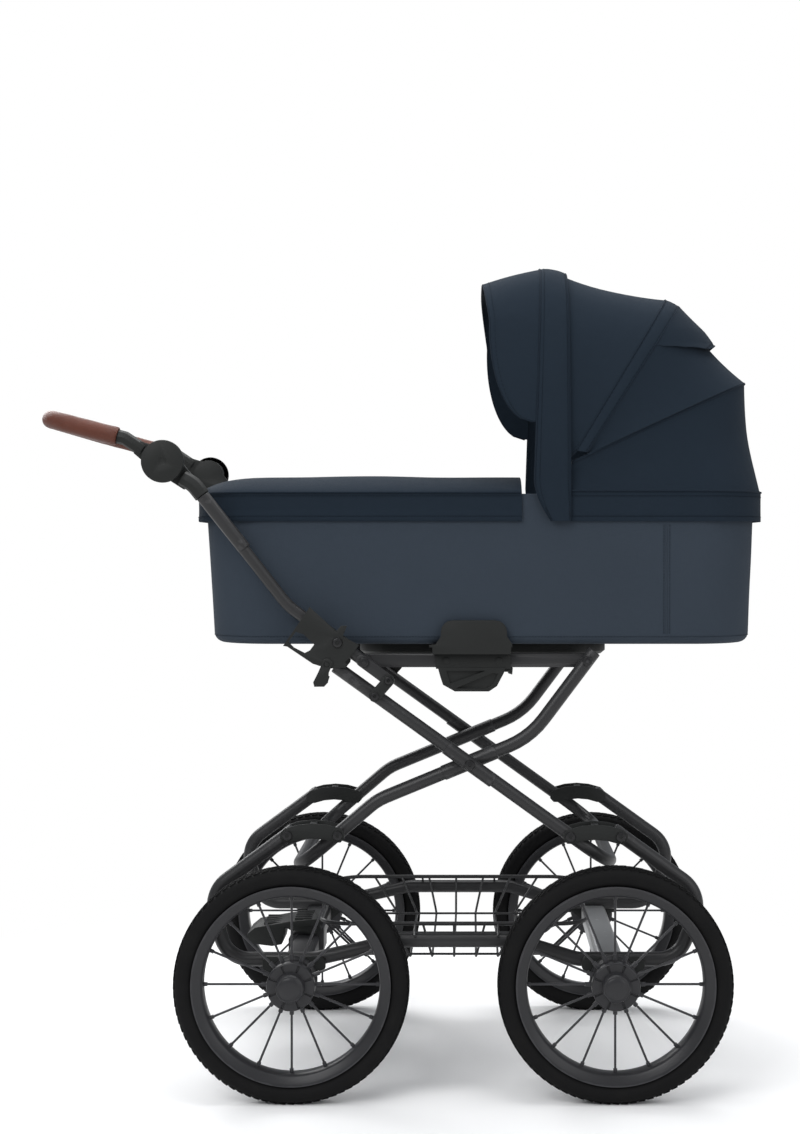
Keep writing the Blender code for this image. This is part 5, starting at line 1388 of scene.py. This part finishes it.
@dataclass
class Carrycot:
    """The cloth tub with its lining and mattress, the apron over the foot end, and the tray below."""

    low: float = 0.6869
    top: float = 0.920
    rear_low: float = -0.383
    rear_top: float = -0.397
    front_low: float = 0.469
    front_top: float = 0.478
    half_low: float = 0.2005
    half_top: float = 0.205
    corner: float = 0.100
    wall: float = 0.007
    floor: float = 0.009
    foot_bend: float = 0.015
    cloth_wall: float = 0.003
    skirt_low: float = 0.8776
    flare: float = 0.008
    rim: float = 0.925
    apron_end: float = 0.105
    apron_spine: float = 0.120
    apron_rise: float = 0.0315
    seam_x: float = 0.329
    middle_x: float = 0.04
    side_slack: float = 0.0009
    pad_voxel: float = 0.012
    pad_swell: float = 0.0035
    columns: int = 240

    def ring(self, z: float, inset: float = 0.0) -> Row:
        """The tub's outline at one height."""
        share = (z - self.low) / (self.top - self.low)
        back = self.rear_low + (self.rear_top - self.rear_low) * share + inset
        front = self.front_low + (self.front_top - self.front_low) * share - inset
        half = self.half_at(z) - inset
        bend = max(self.corner - inset, 0.004)
        return evenly(rounded(oblong(back, front, half, z, bend), 5.0), self.columns, cyclic=True)

    def half_at(self, z: float) -> float:
        """Half of the tub's width at one height."""
        return self.half_low + (self.half_top - self.half_low) * (z - self.low) / (self.top - self.low)

    def tub(self) -> None:
        """The outer cloth with its rounded foot and soft sides, a rolled rim, and the lining inside."""
        rings = []
        for index in range(7):
            angle = math.radians(15.0 * index)
            rings.append(self.ring(self.low + self.foot_bend * (1.0 - math.cos(angle)),
                                   self.foot_bend * (1.0 - math.sin(angle))))
        side_low = self.low + self.foot_bend
        for index in range(1, 13):
            share = index / 12.0
            ring = self.ring(side_low + (self.top - 0.003 - side_low) * share)
            middle = Vector((self.middle_x, 0.0, ring[0].z))
            for place, point in enumerate(ring):
                pull = noise.noise(Vector((point.x * 7.0, point.y * 7.0, point.z * 10.0)))
                lean = (point - middle).normalized() * pull * self.side_slack
                ring[place] = point + lean * math.sin(math.pi * share)
            rings.append(ring)
        rings += [self.ring(self.top - 0.0008, 0.0010), self.ring(self.top, 0.0030),
                  self.ring(self.top - 0.0008, self.wall - 0.001), self.ring(self.top - 0.003, self.wall),
                  self.ring(self.low + self.floor + 0.012, self.wall),
                  self.ring(self.low + self.floor + 0.003, self.wall + 0.004),
                  self.ring(self.low + self.floor, self.wall + 0.012)]
        dress(grid("tub_skin", rings, wrap=True, caps=True), TUB_CLOTH, "carrycot", "tub", angle=60.0)
        seams = []
        for side, sign in SIDES:
            line = [Vector((self.seam_x, sign * (self.half_at(z) + 0.0004), z))
                    for z in (self.low + 0.016 + 0.01 * step for step in range(18))]
            welt(f"tub_seam_{side}", line, 0.0011, TUB_CLOTH, "carrycot")
            for shift in (-0.0045, 0.0045):
                seams.append(([point + Vector((shift, 0.0, 0.0)) for point in line],
                              [Vector((0.0, sign, 0.0))] * len(line)))
        foot = self.ring(self.low + 0.012, 0.0)
        line = foot + [foot[0]]
        middle = Vector((self.middle_x, 0.0, foot[0].z))
        seams.append((line, [(point - middle).normalized() for point in line]))
        sew("tub_stitches", seams, TUB_THREAD, "carrycot")

    def mattress(self) -> None:
        """A crowned pad with a border seam, puffed by a cloth simulation."""
        low = self.low + self.floor + 0.0008
        rows = [self.ring(low + rise, inset + self.wall) for rise, inset in (
            (0.0, 0.026), (0.004, 0.016), (0.012, 0.012), (0.022, 0.012), (0.030, 0.018), (0.034, 0.030),
            (0.0352, 0.060), (0.0354, 0.100))]
        pad = grid("mattress_skin", rows, wrap=True, caps=True)
        pad = puffed(pad, self.pad_voxel, self.pad_swell)
        dress(pad, COTTON, "carrycot", "mattress", angle=70.0)

    def skirt_edge(self, lift: float = 0.0) -> Row:
        """The apron's outline in plan, from its near end round the foot to its far end."""
        outside = self.half_top + GAP + self.cloth_wall + lift
        back = self.rear_top - GAP - self.cloth_wall - self.flare - lift
        bend = self.corner + self.cloth_wall
        near = rounded([(self.apron_end, -outside, 0.0, 0.0), (back, -outside, 0.0, bend),
                        (back, 0.0, 0.0, 0.0)], 5.0)
        return evenly(both_sides(near), 150)

    def apron(self) -> None:
        """The cover over the foot end: a hemmed skirt, a piped rim and a low, slightly slack crown."""
        edge = self.skirt_edge()
        spine = self.rear_top - self.flare + self.apron_spine
        rows = []
        for z, out in ((self.skirt_low, -0.0004), (self.skirt_low + 0.0012, 0.0004),
                       (self.skirt_low + 0.0070, 0.0006), (self.skirt_low + 0.0082, 0.0),
                       (self.skirt_low + 0.0200, -0.0002), (self.skirt_low + 0.0340, 0.0001),
                       (self.rim - 0.0055, 0.0004)):
            wave = [0.0007 * noise.noise(Vector((point.x * 11.0, point.y * 11.0, z * 9.0)))
                    for point in edge]
            ring = self.skirt_edge(out)
            rows.append([Vector((point.x, point.y * (1.0 + shift), z)) for point, shift in zip(ring, wave)])
        for index in range(15):
            share = (index / 14.0) ** 1.5
            rise = self.apron_rise * (1.0 - (1.0 - share) ** 3.2) ** 0.8
            row = []
            for point in edge:
                centre = Vector((max(point.x, spine), 0.0, 0.0))
                place = point.lerp(centre, share)
                slack = noise.noise(Vector((place.x * 8.0, place.y * 8.0, 0.4))) * 0.0022
                height = self.rim - 0.004 + rise + slack * math.sin(math.pi * share)
                row.append(Vector((place.x, place.y, height)))
            rows.append(row)
        inside = Vector((-0.12, 0.0, 0.86))
        cloth("apron_skin", rows, self.cloth_wall, inside, HOOD_CLOTH, "carrycot", "apron",
              rests_on=["tub_skin"])
        rim = [Vector((point.x, point.y, self.rim - 0.0035)) for point in self.skirt_edge(0.0008)]
        welt("apron_piping", rim, 0.0017, PIPING, "carrycot")
        ways = outward(rim, Vector((0.0, 0.0, 1.0)), inside)
        seams = []
        for z in (self.rim - 0.0085, self.skirt_low + 0.0076):
            seams.append(([Vector((point.x, point.y, z)) for point in self.skirt_edge(0.0006)], ways))
        sew("apron_stitches", seams, THREAD, "carrycot")

    def build(self) -> None:
        """Make every piece of the carrycot."""
        self.tub()
        self.mattress()
        self.apron()
        smooth_copies("carrycot", MOULDED, ["cot_base"], 0.0012)


def puffed(body: bpy.types.Object, voxel: float, most: float) -> bpy.types.Object:
    """Swell a closed pad with a short cloth simulation, and keep each point near its start.

    Args:
        body: The pad, as a closed mesh.
        voxel: The size of its remeshed faces.
        most: How far a point may move.

    Returns:
        The swollen pad, as a plain mesh.
    """
    remesh = body.modifiers.new("remesh", "REMESH")
    remesh.mode = "VOXEL"
    remesh.voxel_size = voxel
    body = flat_mesh(body)
    start = [vert.co.copy() for vert in body.data.vertices]
    swell = body.modifiers.new("swell", "CLOTH")
    swell.settings.use_pressure = True
    swell.settings.uniform_pressure_force = 4.0
    swell.settings.effector_weights.gravity = 0.0
    swell.settings.quality = 4
    scene = bpy.context.scene
    for frame in range(1, 21):
        scene.frame_set(frame)
    body = flat_mesh(body)
    scene.frame_set(1)
    for vert, place in zip(body.data.vertices, start):
        move = vert.co - place
        if move.length > most:
            vert.co = place + move.normalized() * most
    smooth = body.modifiers.new("smooth", "SUBSURF")
    smooth.levels = 1
    smooth.render_levels = 1
    return mapped(flat_mesh(body))


def mapped(body: bpy.types.Object) -> bpy.types.Object:
    """Give a pad a map in metres, seen from above."""
    layer = body.data.uv_layers.new(name="UVMap")
    for loop in body.data.loops:
        place = body.data.vertices[loop.vertex_index].co
        layer.data[loop.index].uv = (place.x, place.y + place.z)
    return body


@dataclass(frozen=True)
class Arch:
    """One bow's line: it springs straight up beside the pivot and bends over to its crown.

    Attributes:
        foot: Where it springs from, in x and z.
        crown: Its highest point, in x and z.
        half: Half of its width.
        start: The angle over the pivot where it begins, in degrees.
    """

    foot: Pair
    crown: Pair
    half: float
    start: float = 0.0

    def line(self, count: int = 120, power: float = 4.0) -> Row:
        """The arch in equal steps, from its near foot over the crown to its far foot."""
        lean = Vector((self.crown[0] - self.foot[0], 0.0, self.crown[1] - self.foot[1]))
        reach = lean.length
        lean.normalize()
        above = Vector((self.foot[0] - HOOD_PIVOT.x, 0.0, self.foot[1] - HOOD_PIVOT.z))
        sunk = max(0.0, above.dot(lean) + HOOD_SINK)
        base = Vector((self.foot[0], 0.0, self.foot[1])) - lean * sunk
        foot_angle = math.asin((sunk / (sunk + reach)) ** (power / 2.0))
        first = max(math.radians(self.start), foot_angle)
        points = []
        for index in range(601):
            angle = first + (math.pi - 2.0 * first) * index / 600.0
            across = math.copysign(abs(math.cos(angle)) ** (2.0 / power), math.cos(angle))
            rise = max(0.0, math.sin(angle)) ** (2.0 / power)
            point = base + lean * ((sunk + reach) * rise)
            points.append(Vector((point.x, -self.half * across, point.z)))
        return evenly(points, count)

    def towards(self, other: Arch, share: float, drop: float = 0.0) -> Arch:
        """The arch at a share of the way to another, drawn in by a drop."""
        def between(first: float, last: float) -> float:
            """A size at that share of the way."""
            return first + (last - first) * share

        return Arch((between(self.foot[0], other.foot[0]), between(self.foot[1], other.foot[1])),
                    (between(self.crown[0], other.crown[0]) - drop * 0.7,
                     between(self.crown[1], other.crown[1]) - drop * 0.7),
                    between(self.half, other.half) - drop * 0.4)


@dataclass
class Hood:
    """The hood: a broad front band with a visor, a middle bow, two stretched panels and the fixed rear."""

    band_front: Arch = Arch((0.1226, 0.8776), (0.137, 1.288), 0.2130)
    band_rear: Arch = Arch((0.180, 0.8776), (0.178, 1.281), 0.2130)
    front_panel: tuple[Arch, Arch] = (Arch((0.1700, 0.9600), (0.1680, 1.2795), 0.2103),
                                      Arch((0.1875, 0.9860), (0.3396, 1.2385), 0.2083))
    bow: tuple[Arch, Arch] = (Arch((0.1885, 0.9865), (0.341, 1.2385), 0.2083),
                              Arch((0.205, 0.9840), (0.3625, 1.2280), 0.2083))
    rear_panel: tuple[Arch, Arch] = (Arch((0.2065, 0.9845), (0.364, 1.2272), 0.2083),
                                     Arch((0.2065, 0.9815), (0.4695, 1.1035), 0.2083))
    rear_bow: Arch = Arch((0.1822, 0.9680), (0.4700, 1.1020), 0.2036)
    wall: float = 0.003
    sag: float = 0.008
    fold_scale: float = 9.0
    skirt_low: float = 0.8776
    rim: float = 0.925
    skirt_start: float = 0.1722
    skirt_end: float = 0.4893
    skirt_half: float = 0.2083
    corner: float = 0.103
    spine_end: float = 0.378
    flap_foot: float = 1.150
    flap_reach: float = 0.53
    cut_top: float = 0.941
    cut_height: float = 0.0634
    cut_depth: float = 0.0285
    columns: int = 120

    def between(self, arches: tuple[Arch, Arch], steps: int, puff: float = 0.0, sag: float = 0.0,
                ripple: float = 0.0) -> list[Row]:
        """Rows of a strip between two arches.

        Args:
            arches: The front arch and the rear one.
            steps: How many rows to lay.
            puff: How far the strip swells in its middle.
            sag: How far it is drawn in at its middle.
            ripple: The depth of its slack folds.

        Returns:
            The rows.
        """
        first, last = arches
        rows = []
        for step in range(steps + 1):
            share = (1.0 - math.cos(math.pi * step / steps)) / 2.0 if puff else step / steps
            row = first.towards(last, share, sag * 4.0 * share * (1.0 - share)).line(self.columns)
            across = last.line(self.columns)[self.columns // 2] - first.line(self.columns)[self.columns // 2]
            ways = outward(row, across, HOOD_MIDDLE)
            swell = puff * (1.0 - abs(2.0 * share - 1.0) ** 3.0)
            fade = math.sin(math.pi * share)
            moved = []
            for point, way in zip(row, ways):
                slack = ripple * fade * noise.noise(point * self.fold_scale)
                moved.append(point + way * (swell + slack))
            rows.append(moved)
        return rows

    def seam(self, rows: list[Row], place: float) -> tuple[Row, Row]:
        """A line along a strip at a share of its depth, with the ways out of the cloth."""
        spot = place * (len(rows) - 1)
        low = min(int(spot), len(rows) - 2)
        row = [a.lerp(b, spot - low) for a, b in zip(rows[low], rows[low + 1])]
        middle = len(row) // 2
        across = rows[-1][middle] - rows[0][middle]
        return row, outward(row, across, HOOD_MIDDLE)

    def band(self) -> None:
        """The front band: puffed cloth over a broad bow, with its front foot cut back, and two seams."""
        rows = self.between((self.band_front, self.band_rear), 12, puff=0.0032, ripple=0.0008)
        for place, row in enumerate(rows):
            share = place / (len(rows) - 1)
            for point in row:
                if point.z < self.cut_top:
                    fall = (self.cut_top - point.z) / self.cut_height
                    point.x += self.cut_depth * fall ** 1.6 * (1.0 - share)
        cloth("front_band_skin", rows, self.wall, HOOD_MIDDLE, HOOD_CLOTH, "hood_front",
              "hood_front_band", rests_on=["rear_skirt"])
        seams = [self.seam(rows, place) for place in (0.24, 0.83)]
        sew("front_band_stitches", seams, THREAD, "hood_front")
        welt("front_band_front_piping", rows[0], 0.0017, PIPING, "hood_front")
        welt("front_band_rear_piping", rows[-1], 0.0013, PIPING, "hood_front")

    def visor(self) -> None:
        """The sun visor, deep over the crown, run out down the sides, and a little drooped."""
        front = self.band_front
        start = Arch((front.foot[0] - GAP, front.foot[1]), (front.crown[0] - GAP, front.crown[1]),
                     front.half, 8.0)
        edge = start.line(self.columns)
        full, depth, peak, drop = 1.190, 0.077, 0.015, 0.025
        rows = [[] for _ in range(9)]
        for point in edge:
            fall = max(0.0, (full - point.z) / (full - edge[0].z))
            deep = 0.005 + (depth - 0.005) * math.sqrt(max(0.0, 1.0 - fall * fall))
            top = max(0.0, (point.z - full) / (start.crown[1] - full))
            for place, row in enumerate(rows):
                share = place / (len(rows) - 1)
                droop = -0.0020 * math.sin(math.pi * share) * top
                reach = Vector((-(deep + peak * top) * share, 0.0, -drop * top * share - droop))
                row.append(point + reach)
        cloth("visor_skin", rows, self.wall, HOOD_MIDDLE, HOOD_CLOTH, "hood_front", "hood_visor")
        lip, ways = self.seam(rows, 1.0)
        welt("visor_piping", [point - way * 0.0014 for point, way in zip(lip, ways)], 0.0019, PIPING,
             "hood_front")
        sew("visor_stitches", [self.seam(rows, 0.90)], THREAD, "hood_front")

    def panels(self) -> None:
        """The two stretched panels, the middle bow and the flap behind it."""
        rows = self.between(self.front_panel, 12, sag=self.sag, ripple=0.0010)
        front = cloth("front_panel_skin", rows, self.wall, HOOD_MIDDLE, HOOD_CLOTH, "", "hood_panel_front")
        rows = self.between(self.bow, 8, puff=0.0015)
        cloth("middle_bow_skin", rows, self.wall, HOOD_MIDDLE, HOOD_CLOTH, "hood_mid", "hood_mid_bow")
        sew("middle_bow_stitches", [self.seam(rows, 0.2), self.seam(rows, 0.8)], THREAD, "hood_mid")
        for name, row in (("front", rows[0]), ("rear", rows[-1])):
            welt(f"middle_bow_{name}_piping", row, 0.0014, PIPING, "hood_mid")
        rows = self.between(self.rear_panel, 14, sag=self.sag, ripple=0.0014)
        rear = cloth("rear_panel_skin", rows, self.wall, HOOD_MIDDLE, HOOD_CLOTH, "", "hood_panel_rear")
        self.blend(front, rear)
        self.flap()

    def flap(self) -> None:
        """The loose cover over the roof's window, sewn to the middle bow and standing off the panel."""
        rows = []
        for step in range(11):
            share = step / 10.0
            arch = self.bow[1].towards(self.rear_panel[1], self.flap_reach * share)
            row = [point for point in arch.line(240) if point.z >= self.flap_foot]
            row = evenly(row, self.columns)
            across = self.rear_panel[1].line(2)[1] - self.bow[1].line(2)[1]
            lift = 0.0012 + 0.0075 * share ** 1.4
            side = [min(1.0, (point.z - row[0].z) / 0.03) for point in row]
            rows.append([point + way * lift * max(0.25, rise)
                         for point, way, rise in zip(row, outward(row, across, HOOD_MIDDLE), side)])
        cloth("window_flap_skin", rows, 0.0016, HOOD_MIDDLE, HOOD_CLOTH, "hood_mid",
              rests_on=["rear_panel_skin"])
        sew("window_flap_stitches", [self.seam(rows, 0.93)], THREAD, "hood_mid")
        welt("window_flap_piping", rows[-1], 0.0014, PIPING, "hood_mid")

    def blend(self, front: bpy.types.Object, rear: bpy.types.Object) -> None:
        """Bake each panel's place into its mesh."""
        def crown(arch: Arch) -> Vector:
            """The top of an arch, in the frame's place."""
            return Vector((arch.crown[0], 0.0, arch.crown[1])) + SHIFT

        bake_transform(rear)
        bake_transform(front)

    def skirt_edge(self) -> Row:
        """The rear skirt's outline in plan, from its near end round the head end to its far end."""
        near = rounded([(self.skirt_start, -self.skirt_half, 0.0, 0.0),
                        (self.skirt_end, -self.skirt_half, 0.0, self.corner),
                        (self.skirt_end, 0.0, 0.0, 0.0)], 5.0)
        return evenly(both_sides(near), self.columns)

    def rear(self) -> None:
        """The fixed rear: a skirt round the tub's rim, and the cloth from there up to the rear bow."""
        edge = self.skirt_edge()
        bow = self.rear_bow.line(self.columns)
        ways = []
        for point in edge:
            centre = Vector((min(point.x, self.spine_end), 0.0, 0.0))
            way = centre - point
            ways.append(Vector((way.x, way.y, 0.0)).normalized())
        rows = []
        for z, inset in ((self.skirt_low, 0.0004), (self.skirt_low + 0.0012, 0.0), (0.892, 0.0003),
                         (0.908, 0.0003), (self.rim - 0.0035, 0.0), (self.rim - 0.0008, 0.0008),
                         (self.rim + 0.0022, 0.0028), (self.rim + 0.0045, 0.0036)):
            rows.append([point + way * inset + Vector((0.0, 0.0, z)) for point, way in zip(edge, ways)])
        base = rows[-1]
        for step in range(1, 15):
            share = step / 14.0
            row = []
            for low, high, way in zip(base, bow, ways):
                fullness = (0.003 + 0.006 * abs(way.x)) * math.sin(math.pi * share)
                spot = Vector((low.x * self.fold_scale, low.y * self.fold_scale, share * 2.0))
                slack = 0.0012 * noise.noise(spot)
                row.append(low.lerp(high, share) + way * (fullness + slack * math.sin(math.pi * share)))
            rows.append(row)
        inside = Vector((0.30, 0.0, 0.95))
        cloth("rear_skirt", rows, self.wall, inside, HOOD_CLOTH, "carrycot", "hood_rear",
              rests_on=["tub_skin"])
        up = Vector((0.0, 0.0, 1.0))
        seams = []
        for z in (self.rim - 0.0085, self.skirt_low + 0.0076):
            line = [point + Vector((0.0, 0.0, z)) for point in edge]
            seams.append((line, outward(line, up, inside)))
        sew("rear_skirt_stitches", seams, THREAD, "carrycot")
        welt("rear_bow_piping", [point + way * 0.0005 for point, way in zip(bow, ways)], 0.0024, PIPING,
             "carrycot")
        rim = [point - way * 0.0004 + up * (self.rim - 0.001) for point, way in zip(edge, ways)]
        welt("rear_rim_piping", rim, 0.0014, PIPING, "carrycot")

    def build(self) -> None:
        """Make every piece of the hood."""
        self.rear()
        self.band()
        self.visor()
        self.panels()


# Studio

LIGHTS = (("key_light", (-1.6, -2.6, 2.9), 2.2, 70.0), ("fill_light", (2.6, -2.2, 1.8), 2.4, 30.0),
          ("top_light", (0.2, 0.3, 3.2), 2.6, 85.0), ("back_light", (-1.8, 2.4, 2.4), 2.0, 60.0))


def area_light(name: str, place: Vector, aim: Vector, size: float, power: float) -> None:
    """A square soft light.

    Args:
        name: Its name.
        place: Where it is.
        aim: What it points at.
        size: Its side.
        power: Its power in watts.
    """
    data = bpy.data.lights.new(name, "AREA")
    data.size = size
    data.energy = power
    lamp = bpy.data.objects.new(name, data)
    bpy.context.scene.collection.objects.link(lamp)
    lamp.location = place
    lamp.rotation_euler = (aim - place).to_track_quat("-Z", "Y").to_euler()


@dataclass
class Studio:
    """A white room with a pale floor and soft lights, seen from where the photograph was taken."""

    eye: Vector = field(default_factory=lambda: Vector((0.10345, -2.843, 0.830)))
    floor_size: float = 14.0
    fade_start: float = 0.45
    fade_end: float = 1.25
    aim_height: float = 0.65

    def world(self) -> None:
        """White to the camera and soft grey light on the object."""
        world = bpy.data.worlds.new("studio_world")
        bpy.context.scene.world = world
        world.use_nodes = True
        tree = world.node_tree
        tree.nodes.clear()
        out = tree.nodes.new("ShaderNodeOutputWorld")
        path = tree.nodes.new("ShaderNodeLightPath")
        mix = tree.nodes.new("ShaderNodeMixShader")
        tree.links.new(path.outputs["Is Camera Ray"], mix.inputs["Fac"])
        for place, (colour, strength) in enumerate((((0.92, 0.95, 1.0, 1.0), 0.42), ((1.0,) * 4, 1.0))):
            light = tree.nodes.new("ShaderNodeBackground")
            light.inputs["Color"].default_value = colour
            light.inputs["Strength"].default_value = strength
            tree.links.new(light.outputs["Background"], mix.inputs[1 + place])
        tree.links.new(mix.outputs["Shader"], out.inputs["Surface"])

    def floor_finish(self) -> bpy.types.Material:
        """Pale round the object, and fading to the room's white further out."""
        graph = Graph("studio_white")
        graph.look((0.92, 0.92, 0.92, 1.0), 0.9, Specular_IOR_Level=0.1)
        reach = graph.add("ShaderNodeVectorMath", {"operation": "LENGTH"}, {0: graph.place()}, "Value")
        fade = graph.add("ShaderNodeMapRange", {"interpolation_type": "SMOOTHSTEP"},
                         {"Value": reach, "From Min": self.fade_start, "From Max": self.fade_end})
        pale = Value(graph, graph.shader.outputs["BSDF"])
        mix = graph.add("ShaderNodeMixShader",
                        inputs={0: fade, 1: pale, 2: graph.add("ShaderNodeEmission")})
        graph.feed(graph.tree.nodes["Material Output"].inputs["Surface"], mix)
        return graph.material

    def floor(self) -> None:
        """The pale floor."""
        half = self.floor_size / 2.0
        corners = [(-half, -half), (half, -half), (half, half), (-half, half)]
        mesh = bpy.data.meshes.new("studio_floor")
        mesh.from_pydata([(x, y, 0.0) for x, y in corners], [], [(0, 1, 2, 3)])
        floor = link("studio_floor", mesh)
        mesh.materials.append(self.floor_finish())

    def camera(self) -> None:
        """The camera, matched to the photograph."""
        data = bpy.data.cameras.new("photo_camera")
        data.sensor_fit = "VERTICAL"
        data.sensor_height = 36.0
        data.lens = 54.25
        data.shift_x = -0.0632
        data.shift_y = -0.0133
        camera = bpy.data.objects.new("photo_camera", data)
        bpy.context.scene.collection.objects.link(camera)
        camera.location = self.eye
        camera.rotation_euler = (math.radians(90.0), 0.0, 0.0)
        bpy.context.scene.camera = camera

    def build(self) -> None:
        """Light the room and place the camera."""
        self.world()
        self.floor()
        self.camera()
        for name, place, size, power in LIGHTS:
            area_light(name, Vector(place), Vector((0.0, 0.0, self.aim_height)), size, power)
        bpy.context.scene.view_settings.view_transform = "Standard"


def main() -> None:
    """Build the pram and its studio."""
    logging.basicConfig(level=logging.INFO, format="%(name)s %(message)s")
    for maker in (Wheels(), Undercarriage(), FoldingFrame(), PushFrame(), Carrycot(), Hood(), Studio()):
        maker.build()
        LOG.info("built %s", type(maker).__name__)


if __name__ == "__main__":
    main()
